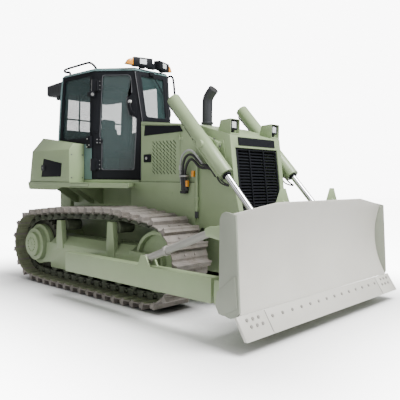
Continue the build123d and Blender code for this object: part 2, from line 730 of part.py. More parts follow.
def cab_solid(inset, z_from, z_to):
    height = cab_top_z - cab_floor_z
    faces = []
    for z in (z_from, z_to):
        ring = cab_ring((z - cab_floor_z) / height, z, inset)
        faces.append(make_face(Polyline(*ring, close=True)))
    return loft(faces, ruled=True)


def panel_plane(corner, along, above):
    """A plane on a cab face: X runs along its foot, Y up its slope, Z outwards on the left side."""
    corner, along, above = Vector(*corner), Vector(*along), Vector(*above)
    run = (along - corner).normalized()
    normal = run.cross(above - corner).normalized()
    return Plane(corner, x_dir=run, z_dir=normal)


low_ring = cab_ring(0, cab_floor_z)
high_ring = cab_ring(1, cab_top_z)


def cab_face(start, end):
    """The plane of the cab face between two corners of the ring, and its outline on that plane."""
    plane = panel_plane(low_ring[start], low_ring[end], high_ring[start])
    outline = [plane.to_local_coords(Vector(*point)) for point in
               (low_ring[start], low_ring[end], high_ring[end], high_ring[start])]
    return plane, [(point.X, point.Y) for point in outline]


def trimmed(outline, left, right, low, high):
    """A four-sided outline moved in from its left, right, low and high edges."""
    (x0, y0), (x1, y1), (x2, y2), (x3, y3) = outline
    total = y3 - y0
    y_low, y_high = y0 + low, y3 - high

    def left_x(y):
        return x0 + (x3 - x0) * (y - y0) / total + left

    def right_x(y):
        return x1 + (x2 - x1) * (y - y1) / total - right
    return [(left_x(y_low), y_low), (right_x(y_low), y_low),
            (right_x(y_high), y_high), (left_x(y_high), y_high)]


def panel(plane, outline, outside, inside, corner_radius=0.0):
    """A flat piece on a cab face, from a depth outside the face to a depth inside it."""
    face = make_face(Polyline(*outline, close=True))
    if corner_radius:
        face = fillet(face.vertices(), corner_radius)
    slab = extrude(face, amount=outside + inside)
    return plane * (Pos(0, 0, -inside) * slab)


# ring corners on the left: 0 front, 1 pillar, 2 rear; on the right: 3 rear, 4 pillar, 5 front
front_plane, front_outline = cab_face(5, 0)
rear_plane, rear_outline = cab_face(2, 3)
door_plane, door_quad = cab_face(0, 1)
quarter_plane, quarter_quad = cab_face(1, 2)

shell = cab_solid(0, cab_floor_z, cab_top_z) - cab_solid(cab_wall, cab_floor_z, cab_top_z)
hood_clear_z = hood_rear_z + 70
windshield_hole = trimmed(front_outline, post, post, hood_clear_z - cab_floor_z, 70)
rear_hole = trimmed(rear_outline, post + 40, post + 40, 720, 90)
door_hole = trimmed(door_quad, post, post, 0, 50)
quarter_hole = trimmed(quarter_quad, post + 30, post + 20, 640, 60)
cutters = [panel(front_plane, windshield_hole, 200, 200, 30),
           panel(rear_plane, rear_hole, 200, 200, 60)]
door_cutter = panel(door_plane, door_hole, 200, 120)
quarter_cutter = panel(quarter_plane, quarter_hole, 200, 200, 60)
for cutter in cutters + [door_cutter, mirrored(door_cutter), quarter_cutter, mirrored(quarter_cutter)]:
    shell -= cutter
hinge_along = post + door_gap / 2
pillar_low, pillar_high = Vector(*low_ring[1]), Vector(*high_ring[1])
hinge_axis = (pillar_high - pillar_low).normalized()
hinge_foot = (pillar_low + (Vector(*low_ring[0]) - pillar_low).normalized() * hinge_along
              + Vector(*door_normal, 0) * hinge_out)


hinge_heights = [share * (cab_top_z - cab_floor_z) for share in hinge_shares]


def cab_hinge(knuckle, flat_from, flat_to, v_from, v_to):
    """One half of a cab door's hinge, its flat measured from the hinge line along the door's face."""
    low, high = hinge_foot + hinge_axis * v_from, hinge_foot + hinge_axis * v_to
    on_face_low, on_face_high = door_plane.to_local_coords(low), door_plane.to_local_coords(high)
    line_x = on_face_low.X
    flat_low, flat_high = on_face_low.Y + leaf_setback, on_face_high.Y - leaf_setback
    flat = [(line_x + flat_from, flat_low), (line_x + flat_to, flat_low),
            (line_x + flat_to, flat_high), (line_x + flat_from, flat_high)]
    return knuckle(low, high, hinge_radius) + panel(door_plane, flat, hinge_leaf, 0)


for height in hinge_heights:
    half_hinge = cab_hinge(flat_sided, 0, post - 8, height - hinge_half, height)
    shell += half_hinge + mirrored(half_hinge)
save("cab_frame", shell)


def shrunk(outline, by):
    return trimmed(outline, by, by, by, by)


glass_inset = 20


def pane(plane, hole, corner_radius):
    """A sheet of glass set back in a window's opening."""
    return panel(plane, shrunk(hole, glass_fit), -glass_inset, glass_inset + glass_thickness, corner_radius)


glass = [pane(front_plane, windshield_hole, 30), pane(rear_plane, rear_hole, 60)]
quarter_glass = pane(quarter_plane, quarter_hole, 60)
save("cab_glass", gather(*glass, quarter_glass, mirrored(quarter_glass)))

door_leaf_outline = trimmed(door_hole, door_gap, door_gap, door_gap + 6, door_gap)
door_window = trimmed(door_leaf_outline, 92, 80, 110, 60)
door_leaf = panel(door_plane, door_leaf_outline, 0, 40)
door_leaf -= panel(door_plane, door_window, 100, 140, 60)
for height in hinge_heights:
    door_leaf += cab_hinge(bar, -60, 0, height + hinge_gap, height + hinge_half)
door_pane = pane(door_plane, door_window, 60)
save("cab_door_left", door_leaf)
save("cab_door_right", mirrored(door_leaf))
save("door_glass_left", door_pane)
save("door_glass_right", mirrored(door_pane))

roof_faces = [make_face(Polyline(*cab_ring(1, cab_top_z, -14), close=True)),
              make_face(Polyline(*cab_ring(1, cab_top_z + roof_thickness, 26), close=True))]
save("cab_roof", loft(roof_faces, ruled=True))

floor_outline = [(x, y) for x, y, z in cab_ring(0, cab_floor_z)]
base = deck(floor_outline, fender_top, cab_floor_z)
base += block(cab_rear_x + 40, cab_front_x - 60, -cab_base_half, cab_base_half, hull_top, fender_top)
save("cab_base", base)

seat = block(-1560, -1080, -250, 250, 1960, 2080)
seat += side_plate([(-1640, 2000), (-1540, 2000), (-1640, 2620), (-1730, 2620)], -235, 235)
seat += block(-1480, -1160, -180, 180, cab_floor_z, 1970)
save("seat", seat)
console = block(-700, -560, -330, 330, cab_floor_z, 2330)
save("dashboard", console)

# each light unit turns outwards on the roof's front: a black box with an amber lamp at its outer end
unit_x, unit_y, unit_turn = -585, 200, 19
unit_width, unit_depth, unit_height, unit_foot = 305, 110, 130, 24
amber_width = 120
unit_low = cab_top_z + roof_thickness
unit_place = Pos(unit_x, unit_y, unit_low) * Rot(0, 0, unit_turn)
light_unit = unit_place * block(-unit_depth / 2, unit_depth / 2, -unit_width / 2, unit_width / 2,
                                unit_foot, unit_foot + unit_height)
light_unit += unit_place * block(-30, 30, -45, 45, 0, unit_foot)
save("roof_lights", both_sides(light_unit))
amber_near, amber_far = unit_width / 2, unit_width / 2 + amber_width
amber_section = [(amber_near, unit_foot + 10), (amber_far, unit_foot + 22), (amber_far - 45, unit_foot + 92),
                 (amber_near, unit_foot + unit_height - 8)]
amber = cross_section(amber_section, -unit_depth / 2 + 8, unit_depth / 2 - 8)
save("beacons", both_sides(unit_place * amber))


def tube(points, radius, sides=pin_sides):
    """A tube with flats, mitred where it bends."""
    heading = Vector(*points[1]) - Vector(*points[0])
    section = Plane(Vector(*points[0]), z_dir=heading) * RegularPolygon(radius, sides)
    return sweep(section, path=Polyline(*points), transition=Transition.RIGHT)


rail_radius = 13
rail_y = cab_pillar_half - 97
# (x, height above the roof) along a side rail
rail_line = [(-1121, 0), (-1225, 90), (-1319, 120), (-1957, 106), (-1990, 74), (-1835, 42), (-1826, 0)]
side_rail = tube([(x, rail_y, unit_low + height) for x, height in rail_line], rail_radius)
side_rail -= block(-2100, -1000, rail_y - 60, rail_y + 60, unit_low - 60, unit_low)
save("roof_rails", both_sides(side_rail))


def cab_rear_face(z):
    return cab_rear_x + rear_rake * (z - cab_floor_z) / (cab_top_z - cab_floor_z)


air_top = cab_top_z - 4
air_bottom = air_top - 231
air_unit = side_plate([(cab_rear_face(air_bottom), air_bottom), (cab_rear_face(air_top), air_top),
                       (air_rear_x, air_top), (air_rear_x, air_bottom + 105)], -air_half, air_half)
save("rear_air_unit", air_unit)

# ---- Blade, push arms and braces -------------------------------------------------------------
arm = block(arm_rear_x, arm_front_x, -arm_outer, -arm_inner, arm_bottom, arm_top)
arm -= disc(arm_pivot_x, -arm_inner - arm_ball_depth - 1, -arm_inner + 10, arm_pivot_z, arm_ball_radius + 1)
arm += block(arm_front_x, blade_box_x, -arm_outer + 40, -arm_inner - 40, arm_bottom + 60, arm_top - 60)
brace_y = -(arm_outer + arm_inner) / 2
arm_lug = [(brace_rear[0] - 90, arm_top), (brace_rear[0] - 40, brace_rear[1] + 45),
           (brace_rear[0] + 40, brace_rear[1] + 45), (brace_rear[0] + 110, arm_top)]


def brace_cheeks(outline, place):
    """Two plates with a pin between them, which hold one end of a brace."""
    reach = brace_eye_half + 4
    cheeks = wheel(place[0], brace_y - reach, brace_y + reach, place[1], brace_pin_radius, pin_sides)
    for side in (-1, 1):
        near = brace_y + side * reach
        cheeks += side_plate(outline, near, near + side * 22)
    return cheeks


arm += brace_cheeks(arm_lug, brace_rear)
save("push_arms", both_sides(arm))


def moldboard_line(offset):
    """The moldboard's section from its foot to its top, moved back by an offset."""
    foot = (edge_top_x - offset, 0, edge_top_z)
    middle_point = (blade_curve_x - offset, 0, blade_curve_z)
    top = (blade_top_x - offset, 0, blade_mid_z)
    return foot, middle_point, top


front_foot, front_middle, front_top = moldboard_line(0)
back_foot, back_middle, back_top = moldboard_line(skin)
section = make_face([Wire([ThreePointArc(front_foot, front_middle, front_top).edge(),
                           Line(front_top, back_top).edge(),
                           ThreePointArc(back_top, back_middle, back_foot).edge(),
                           Line(back_foot, front_foot).edge()])])
moldboard = Pos(0, -blade_half, 0) * extrude(section, amount=2 * blade_half, dir=(0, 1, 0))
shoulder_cut = cross_section([(-blade_half - 60, blade_top_z), (-blade_mid_half, blade_mid_z),
                              (-blade_mid_half, blade_mid_z + 60), (-blade_half - 60, blade_mid_z + 60)],
                             2200, 2700)
moldboard -= shoulder_cut
moldboard -= mirrored(shoulder_cut)
save("moldboard", moldboard)


def ahead_of_skin(offset, half):
    """All that lies ahead of the moldboard's section at an offset."""
    foot, middle_point, top = moldboard_line(offset)
    far_top, far_foot = (2900, 0, top[2]), (2900, 0, foot[2])
    outline = make_face([Wire([ThreePointArc(foot, middle_point, top).edge(), Line(top, far_top).edge(),
                               Line(far_top, far_foot).edge(), Line(far_foot, foot).edge()])])
    return Pos(0, -half, 0) * extrude(outline, amount=2 * half, dir=(0, 1, 0))


# end plates of the blade, each with a wear plate welded on below
blade_fit = 0.3
end_inner = blade_half + blade_fit
end_outer = end_inner + end_plate
end_outline = [(blade_top_x - 6, blade_top_z), (edge_top_x - 2, edge_top_z + 30), (2455, 325),
               (2380, 300), (2248, 327), (2205, 398), (2235, 560), (2235, 1240), (2262, blade_top_z + 6),
               (2298, blade_top_z + 24), (2345, blade_top_z + 20)]
end = side_plate(end_outline, -end_outer, -end_inner)
wear_plate = [(2442, 713), (2220, 537), (2205, 398), (2248, 327), (2300, 318), (2470, 415)]
end += side_plate(wear_plate, -end_outer - 16, -end_outer)
save("blade_ends", both_sides(end))

# box sections, ears and brackets behind the moldboard carry the arms, the lift and the braces
box_half = blade_half - blade_fit
lower_section = [(2464, edge_top_z), (2380, edge_top_z), (blade_box_x, 400), (blade_box_x, 640), (2340, 640)]
lower_box = side_plate(lower_section, -box_half, box_half)
upper_box = side_plate([(2390, 1180), (2300, 1130), (2300, 1240), (2400, 1290)], -box_half, box_half)
blade_frame = lower_box + upper_box
rib_thickness = 24
for share in rib_shares:
    y = share * blade_half
    rib = side_plate([(2190, 600), (2255, 1180), (2420, 1180), (2420, 600)],
                     y - rib_thickness / 2, y + rib_thickness / 2)
    blade_frame += rib
ear_inner = rod_eye_half + ear_gap
ear_plate = 30
for side in (-1, 1):
    ear = side_plate([(2360, 640), (2190, 850), (2165, 960), (2230, 1030), (2360, 1100)],
                     -cylinder_y + side * ear_inner, -cylinder_y + side * (ear_inner + ear_plate))
    blade_frame += ear + mirrored(ear)
brace_cheek = [(2340, 1000), (brace_front[0] - 30, brace_front[1] - 45),
               (brace_front[0] - 50, brace_front[1] + 30), (brace_front[0] + 20, brace_front[1] + 60),
               (2360, 1170)]
brace_bracket = brace_cheeks(brace_cheek, brace_front)
brace_bracket += block(2275, 2420, brace_y - 90, brace_y + 90, 980, 1240)
blade_frame += brace_bracket + mirrored(brace_bracket)
# a bent guard stands above the blade's top on each side
guard_y = blade_half * guard_share
guard = cross_section([(-guard_y - guard_half, blade_top_z), (-guard_y + guard_half, blade_top_z),
                       (-guard_y + guard_top_half, guard_top_z), (-guard_y - guard_top_half, guard_top_z)],
                      guard_x - 12, guard_x)
guard += side_plate([(guard_x - 12, 1240), (2390, 1180), (2390, 1290), (guard_x, 1400)],
                    -guard_y - 12, -guard_y + 12)
blade_frame += guard + mirrored(guard)
blade_frame -= ahead_of_skin(skin + blade_fit, blade_half + 10)
save("blade_frame", blade_frame)

edge_back_x, edge_back_z = edge_top_x - 26, edge_top_z - 14
edge_outline = [(edge_top_x, edge_top_z - 0.3), (blade_edge_x, blade_bottom),
                (blade_edge_x - 38, blade_bottom), (edge_back_x, edge_back_z)]
bit_inner = edge_half - bit_length
save("cutting_edge", side_plate(edge_outline, -bit_inner, bit_inner))
save("end_bits", both_sides(side_plate(edge_outline, -edge_half, -bit_inner - blade_fit)))


def brace_point(share):
    """A point on the brace's axis, from its rear pin at 0 to its front pin at 1."""
    x, z = (rear + (front - rear) * share for rear, front in zip(brace_rear, brace_front))
    return (x, brace_y, z)


brace = flat_sided(brace_point(0), brace_point(1), brace_radius, 2 * pin_sides)
brace += flat_sided(brace_point(0.3), brace_point(0.335), brace_radius + 14, 2 * pin_sides)
for x, z in (brace_rear, brace_front):
    brace -= wheel(x, brace_y - 80, brace_y + 80, z, brace_eye_radius, 2 * pin_sides)
    brace += wheel(x, brace_y - brace_eye_half, brace_y + brace_eye_half, z, brace_eye_radius, 2 * pin_sides)
    brace -= wheel(x, brace_y - 80, brace_y + 80, z, brace_pin_radius + running_gap, pin_sides)
save("braces", both_sides(brace))

# ---- Lift cylinders --------------------------------------------------------------------------
slope = atan2(rod_pin_z - trunnion_z, rod_pin_x - trunnion_x)
along_x, along_z = cos(slope), sin(slope)


def lift_point(distance, y=-cylinder_y):
    """A point on the lift cylinder's axis, measured from its trunnion towards the blade."""
    return (trunnion_x + distance * along_x, y, trunnion_z + distance * along_z)


pipe_radius = 15
pipe_drop = barrel_radius + 28


def pipe_point(distance):
    """A point on the pipe that runs below a lift cylinder."""
    x, y, z = lift_point(distance)
    return (x + pipe_drop * along_z, y, z - pipe_drop * along_x)


barrel = bar(lift_point(-barrel_above), lift_point(barrel_below), barrel_radius)
barrel += bar(lift_point(barrel_step), lift_point(barrel_below), barrel_radius + 6)
barrel -= bar(lift_point(barrel_below - 80), lift_point(barrel_below + 10), rod_radius + 0.5)
barrel += disc(trunnion_x, -cylinder_y - barrel_radius + 30, -cylinder_y - barrel_radius - 30, trunnion_z, 50)
pin_inner = -cylinder_y + barrel_radius
barrel += disc(trunnion_x, pin_inner - 30, pin_inner + 60, trunnion_z, 45)
barrel += flat_sided(pipe_point(-180), pipe_point(430), pipe_radius)
for distance in (-160, 410):
    barrel += flat_sided(pipe_point(distance), lift_point(distance), pipe_radius + 4)
barrel -= flat_sided(lift_point(-barrel_above + 40), lift_point(barrel_below - 60),
                     bore_radius + 1, 2 * pin_sides)
save("lift_barrel_right", barrel)
save("lift_barrel_left", mirrored(barrel))

rod_length = hypot(rod_pin_x - trunnion_x, rod_pin_z - trunnion_z)
piston_place = -60
rod = bar(lift_point(piston_place), lift_point(rod_length), rod_radius)
rod += flat_sided(lift_point(piston_place - 40), lift_point(piston_place + 20),
                  bore_radius - 1, 2 * pin_sides)
rod += wheel(rod_pin_x, -cylinder_y - rod_eye_half, -cylinder_y + rod_eye_half, rod_pin_z,
             rod_eye_radius, 2 * pin_sides)
save("lift_rod_right", rod)
save("lift_rod_left", mirrored(rod))

# the bearing that holds each cylinder's trunnion, on a plate bolted to the housing's side
bearing_inner = hood_half + 14
bearing_outer = bearing_inner + 61
bearing_turn = Pos(trunnion_x, 0, trunnion_z) * Rot(0, 25, 0)
bracket = bearing_turn * block(-110, 110, -bearing_outer, -bearing_inner, -75, 75)
bearing_plate = [(trunnion_x - 130, trunnion_z + 75), (trunnion_x + 150, trunnion_z + 58),
                 (trunnion_x + 190, trunnion_z - 175), (trunnion_x - 60, trunnion_z - 130)]
bracket += side_plate(bearing_plate, -bearing_inner, -hood_half - running_gap)
bracket -= disc(trunnion_x, -hood_half - 80, -hood_half + 10, trunnion_z, 45 + running_gap)
save("cylinder_brackets", both_sides(bracket))

# ---- Hoses and pipes that feed the lift ------------------------------------------------------
# (radius, points from the skirt up over the arch to the bearing) of each hose on the right side
hose_routes = [(17, [(700, -600, 1475), (700, -600, 1640), (702, -596, 1860), (770, -594, 1950),
                     (870, -592, 1955), (960, -590, 1905), (1030, -588, 1820)]),
               (17, [(752, -600, 1475), (752, -600, 1640), (756, -596, 1830), (800, -594, 1895),
                     (870, -592, 1900), (940, -590, 1860), (985, -588, 1780)]),
               (9, [(664, -584, 1500), (650, -584, 1640), (655, -580, 1935), (712, -580, 2010),
                    (800, -580, 2022), (900, -580, 1970), (985, -580, 1880), (1060, -580, 1800)])]
hoses = [tube(points, radius, 8) for radius, points in hose_routes]
save("lift_hoses", gather(*hoses, *[mirrored(hose) for hose in hoses]))
sleeve = block(678, 776, -skirt_half - 62, -skirt_half - 0.3, 1440, 1475)
save("hose_blocks", both_sides(sleeve))
# a guard tube stands on the nose's rear edge
guard_tube_y = -hood_half - 21.2
guard_tube = flat_sided((911, guard_tube_y, 1128), (911, guard_tube_y, 1938), 22)
save("side_pipes", both_sides(guard_tube))
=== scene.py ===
from math import asin, atan2, cos, hypot, pi, radians, sin

import bmesh
import bpy
from mathutils import Matrix, Vector


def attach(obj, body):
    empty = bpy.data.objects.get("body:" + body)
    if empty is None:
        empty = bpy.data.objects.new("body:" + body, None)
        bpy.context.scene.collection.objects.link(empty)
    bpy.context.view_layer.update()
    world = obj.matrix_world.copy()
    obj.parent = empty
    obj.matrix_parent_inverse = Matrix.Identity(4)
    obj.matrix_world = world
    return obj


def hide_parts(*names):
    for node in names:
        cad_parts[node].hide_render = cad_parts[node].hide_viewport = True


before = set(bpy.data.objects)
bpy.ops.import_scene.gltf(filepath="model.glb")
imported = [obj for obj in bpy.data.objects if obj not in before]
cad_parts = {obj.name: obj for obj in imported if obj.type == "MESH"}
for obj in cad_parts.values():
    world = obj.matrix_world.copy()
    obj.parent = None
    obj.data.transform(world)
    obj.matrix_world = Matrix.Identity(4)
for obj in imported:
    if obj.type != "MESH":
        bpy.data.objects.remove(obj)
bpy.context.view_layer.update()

# ---- Studio ----------------------------------------------------------------------------------
# A pale paper floor under a plain bright room, with one broad soft light high ahead of the
# blade and two weaker ones that lift the side and the rear. The camera stands at eye height,
# ahead of the machine's right track.
camera_data = bpy.data.cameras.new("camera")
camera = bpy.data.objects.new("camera", camera_data)
bpy.context.collection.objects.link(camera)
camera_place = (5.513, -5.391, 1.618)
camera_heading, camera_down, camera_roll = radians(43.176), radians(2.208), radians(0.464)
camera.matrix_world = (
    Matrix.Translation(camera_place) @ Matrix.Rotation(camera_heading, 4, "Z")
    @ Matrix.Rotation(pi / 2 - camera_down, 4, "X") @ Matrix.Rotation(camera_roll, 4, "Z"))
camera_data.sensor_width = 36
camera_data.lens = 46.86
bpy.context.scene.camera = camera


class Shade:
    """One socket of a shader, so that sums on it are written as plain expressions."""

    def __init__(self, tree, socket):
        self.tree = tree
        self.socket = socket

    def node(self, kind, inputs, output=0, **settings):
        """A node of a kind, with the values or links of its sockets and its settings."""
        made = self.tree.nodes.new(kind)
        for name, value in settings.items():
            setattr(made, name, value)
        for name, value in inputs.items():
            if isinstance(value, Shade):
                self.tree.links.new(value.socket, made.inputs[name])
            else:
                made.inputs[name].default_value = value
        return Shade(self.tree, made.outputs[output])

    def sum(self, operation, first, second):
        return self.node("ShaderNodeMath", {0: first, 1: second}, operation=operation)

    def __add__(self, other):
        return self.sum("ADD", self, other)

    def __radd__(self, other):
        return self.sum("ADD", other, self)

    def __rsub__(self, other):
        return self.sum("SUBTRACT", other, self)

    def __mul__(self, other):
        return self.sum("MULTIPLY", self, other)

    def vector(self, operation, other=(0, 0, 0), output=0):
        """A sum on all three coordinates at once."""
        inputs = {0: self, 1: other}
        return self.node("ShaderNodeVectorMath", inputs, output, operation=operation)

    def clamped(self, low, high):
        """Spreads the values between low and high over 0 to 1."""
        return self.node("ShaderNodeMapRange", {"Value": self, "From Min": low, "From Max": high})

    def noise(self, scale, detail=2.0, roughness=0.5):
        """Cloudy values about 0.5 over the object's own coordinates."""
        return self.node("ShaderNodeTexNoise", {
            "Vector": self, "Scale": scale, "Detail": detail, "Roughness": roughness})

    def mixed(self, first, second):
        """A colour between two others, by this value."""
        first, second = [colour if isinstance(colour, Shade) else (*colour, 1)
                         for colour in (first, second)]
        return self.node("ShaderNodeMix", {0: self, 6: first, 7: second}, 2, data_type="RGBA")


def camera_share(tree):
    """1 where the camera looks straight at a surface and 0 for the light that it gives off."""
    return Shade(tree, tree.nodes.new("ShaderNodeLightPath").outputs["Is Camera Ray"])


bpy.ops.object.select_all(action="DESELECT")
bpy.ops.mesh.primitive_plane_add(size=90, location=(0, 0, -0.001))
floor = bpy.context.object
floor.name = "floor"
floor_paper = bpy.data.materials.new("floor_paper")
floor_paper.use_nodes = True
paper_tree = floor_paper.node_tree
paper_tree.nodes.remove(paper_tree.nodes["Principled BSDF"])
seen = camera_share(paper_tree)
# painted shade: close under the tracks and the blade, ambient occlusion darkens the paper's colour
# for camera rays, standing for shadow in a soft light from above
painted_contact_shade = seen.node("ShaderNodeAmbientOcclusion",
                     {"Distance": 0.9, "Color": (1.5, 1.5, 1.5, 1)}, "Color", samples=8)
matt = seen.node("ShaderNodeBsdfDiffuse", {"Color": seen.mixed((0.85, 0.85, 0.85), painted_contact_shade)})
# away from the machine the paper glows as bright as the room behind it, so no horizon shows
footprint = (2.6, 1.62, 0.0)
glow_reach, glow_strength = 2.6, 8.0
on_floor = Shade(paper_tree, paper_tree.nodes.new("ShaderNodeTexCoord").outputs["Object"])
beyond = on_floor.vector("ABSOLUTE").vector("SUBTRACT", footprint).vector("MAXIMUM")
glow_share = seen.node(
    "ShaderNodeMapRange",
    {"Value": beyond.vector("LENGTH", output="Value"), "From Max": glow_reach,
     "To Max": glow_strength}, interpolation_type="SMOOTHSTEP")
glow = seen.node("ShaderNodeEmission", {"Strength": glow_share * seen})
both = seen.node("ShaderNodeAddShader", {0: matt, 1: glow})
paper_tree.links.new(both.socket, paper_tree.nodes["Material Output"].inputs["Surface"])
floor.data.materials.append(floor_paper)

room = bpy.data.worlds.new("room")
room.use_nodes = True
backdrop = room.node_tree.nodes["Background"]
backdrop.inputs["Color"].default_value = (1, 1, 1, 1)
room_light, room_seen = 0.44, 9.0
seen = camera_share(room.node_tree)
strength = seen.node("ShaderNodeMapRange", {"Value": seen, "To Min": room_light,
                                            "To Max": room_seen})
room.node_tree.links.new(strength.socket, backdrop.inputs["Strength"])
bpy.context.scene.world = room
# (name, place, point it faces, width, watts)
for name, place, aim, width, power in (
        ("key_light", (6.0, 0.5, 9.0), (0.3, 0, 1.0), 5.0, 2000),
        ("side_light", (2.0, -9.0, 4.0), (0, 0, 1.2), 6.0, 170),
        ("back_light", (-7.0, 5.0, 6.0), (0, 0, 1.5), 5.0, 300)):
    lamp_data = bpy.data.lights.new(name, "AREA")
    lamp_data.size = width
    lamp_data.energy = power
    lamp = bpy.data.objects.new(name, lamp_data)
    lamp.location = place
    lamp.rotation_euler = (Vector(aim) - Vector(place)).to_track_quat("-Z", "Y").to_euler()
    bpy.context.collection.objects.link(lamp)

# ---- Tracks ----------------------------------------------------------------------------------
# Each track is a chain of forged links with a rolled steel shoe bolted on every link. The
# shoes carry one tall grouser each, and pins with bushings join the links. The steel is bare,
# warm grey-brown, with brighter rubbed edges and dark oily joints.
gauge = 1.88
shoe_count = 43
shoe_width, shoe_length, shoe_plate, grouser_height = 0.61, 0.184, 0.014, 0.068
pin_to_shoe, pin_to_tread = 0.062, 0.04
link_offset, link_width, half_pitch = 0.084, 0.044, 0.095
# (x, z, radius of the pins' line) of each wheel that a chain bends around, anticlockwise when
# seen from the machine's right side
lowest_pin_z = grouser_height + shoe_plate + pin_to_shoe
roller_turn = 0.139
idler_turn = hypot(0.4243, 0.095)
turns = [(-2.075, 0.575, 0.41), (-1.64, lowest_pin_z + roller_turn, roller_turn),
         (0.268, lowest_pin_z + roller_turn, roller_turn), (0.695, 0.592, idler_turn),
         (-0.075, 0.976, 0.134), (-1.325, 0.925, 0.134)]


def clear_selection():
    bpy.ops.object.select_all(action="DESELECT")


def chosen(piece):
    """Selects one piece alone."""
    clear_selection()
    piece.select_set(True)
    bpy.context.view_layer.objects.active = piece


def opened(piece):
    """Opens a piece for editing with all of it selected."""
    chosen(piece)
    bpy.ops.object.mode_set(mode="EDIT")
    bpy.ops.mesh.select_all(action="SELECT")


def closed():
    bpy.ops.object.mode_set(mode="OBJECT")


def picked(piece, wanted):
    """Selects those faces of an opened piece that pass a test."""
    bpy.ops.mesh.select_mode(type="FACE")
    bpy.ops.mesh.select_all(action="DESELECT")
    shape = bmesh.from_edit_mesh(piece.data)
    for face in shape.faces:
        face.select = wanted(face)
    bmesh.update_edit_mesh(piece.data)


def drawn_out(step):
    """Extrudes what is selected by a step."""
    bpy.ops.mesh.extrude_region_move(TRANSFORM_OT_translate={"value": step})


def broken_edges(width, segments=1):
    bpy.ops.mesh.bevel(offset=width, segments=segments, affect="EDGES")


def settle(piece):
    """Puts a new piece's place, turn and size into its mesh."""
    chosen(piece)
    bpy.ops.object.transform_apply(location=True, rotation=True, scale=True)
    return piece


def block(name, low, high, bevel=0.003, segments=1):
    """A block between two corners with its edges broken."""
    clear_selection()
    size = [b - a for a, b in zip(low, high)]
    centre = [(a + b) / 2 for a, b in zip(low, high)]
    bpy.ops.mesh.primitive_cube_add(size=1, location=centre, scale=size)
    piece = settle(bpy.context.object)
    piece.name = name
    if bevel:
        opened(piece)
        broken_edges(bevel, segments)
        closed()
    return piece


def rod(name, start, end, radius, sides=24, bevel=0.002):
    """A round piece between two points with its rims broken."""
    clear_selection()
    start, end = Vector(start), Vector(end)
    axis = (end - start).normalized()
    bpy.ops.mesh.primitive_cone_add(
        vertices=sides, radius1=radius, radius2=radius, depth=(end - start).length,
        location=(start + end) / 2, rotation=(end - start).to_track_quat("Z", "Y").to_euler())
    piece = settle(bpy.context.object)
    piece.name = name
    if bevel:
        opened(piece)
        picked(piece, lambda face: abs(face.normal.dot(axis)) > 0.99)
        bpy.ops.mesh.region_to_loop()
        broken_edges(bevel)
        closed()
    return piece


def copy_placed(original, matrix):
    """A copy with its own mesh, moved by a matrix."""
    piece = original.copy()
    piece.data = original.data.copy()
    piece.data.transform(matrix)
    bpy.context.collection.objects.link(piece)
    return piece


def joined(name, pieces):
    """Several pieces as one object."""
    clear_selection()
    for piece in pieces:
        piece.select_set(True)
    bpy.context.view_layer.objects.active = pieces[0]
    bpy.ops.object.join()
    whole = bpy.context.object
    whole.name = name
    whole.data.name = name
    return whole


def sheet(name, corners, thickness, bevel=0.001):
    """A flat piece cut to the given corners and as thick as the given step."""
    clear_selection()
    bpy.ops.mesh.primitive_circle_add(vertices=len(corners), radius=1, fill_type="NGON")
    piece = bpy.context.object
    piece.name = name
    for vertex, corner in zip(piece.data.vertices, corners):
        vertex.co = corner
    opened(piece)
    drawn_out(thickness)
    bpy.ops.mesh.select_all(action="SELECT")
    bpy.ops.mesh.normals_make_consistent(inside=False)
    if bevel:
        broken_edges(bevel)
    closed()
    return piece


def dropped(*pieces):
    for piece in pieces:
        bpy.data.objects.remove(piece)


def chain_stretches():
    """The pins' line as (length, start x, start z, heading, radius or None) stretches."""
    headings = []
    for here, there in zip(turns, turns[1:] + turns[:1]):
        reach = hypot(there[0] - here[0], there[1] - here[1])
        slope = atan2(there[1] - here[1], there[0] - here[0])
        headings.append(slope + asin((here[2] - there[2]) / reach))
    stretches = []
    for number, (x, z, radius) in enumerate(turns):
        arrive, leave = headings[number - 1], headings[number]
        stretches.append(((leave - arrive) % (2 * pi) * radius, x, z, arrive, radius))
        there = turns[(number + 1) % len(turns)]
        start = (x + radius * sin(leave), z - radius * cos(leave))
        end = (there[0] + there[2] * sin(leave), there[1] - there[2] * cos(leave))
        stretches.append((hypot(end[0] - start[0], end[1] - start[1]), *start, leave, None))
    return stretches


def chain_point(distance):
    """The (x, z) of the pins' line at a distance along it."""
    for length, x, z, heading, radius in stretches:
        if distance <= length:
            if radius is None:
                return (x + distance * cos(heading), z + distance * sin(heading))
            turned = heading + distance / radius
            return (x + radius * sin(turned), z - radius * cos(turned))
        distance -= length


stretches = chain_stretches()
chain_length = sum(stretch[0] for stretch in stretches)
pins = [chain_point(chain_length * number / shoe_count) for number in range(shoe_count)]


def finish(name, roughness=0.5, metallic=0.0, slot=None, **constants):
    """A new finish: its material, the Object coordinates and a function that feeds its shader.
    Its slot argument is not used."""
    material = bpy.data.materials.new(name)
    material.use_nodes = True
    tree = material.node_tree
    shader = tree.nodes["Principled BSDF"]
    for socket, value in (("Roughness", roughness), ("Metallic", metallic), *constants.items()):
        shader.inputs[socket.replace("_", " ")].default_value = value
    place = Shade(tree, tree.nodes.new("ShaderNodeTexCoord").outputs["Object"])

    def feed(**sockets):
        for socket, value in sockets.items():
            tree.links.new(value.socket, shader.inputs[socket.replace("_", " ")])

    return material, place, feed


def bump(place, height, strength, distance=0.001):
    return place.node("ShaderNodeBump", {
        "Height": height, "Strength": strength, "Distance": distance})


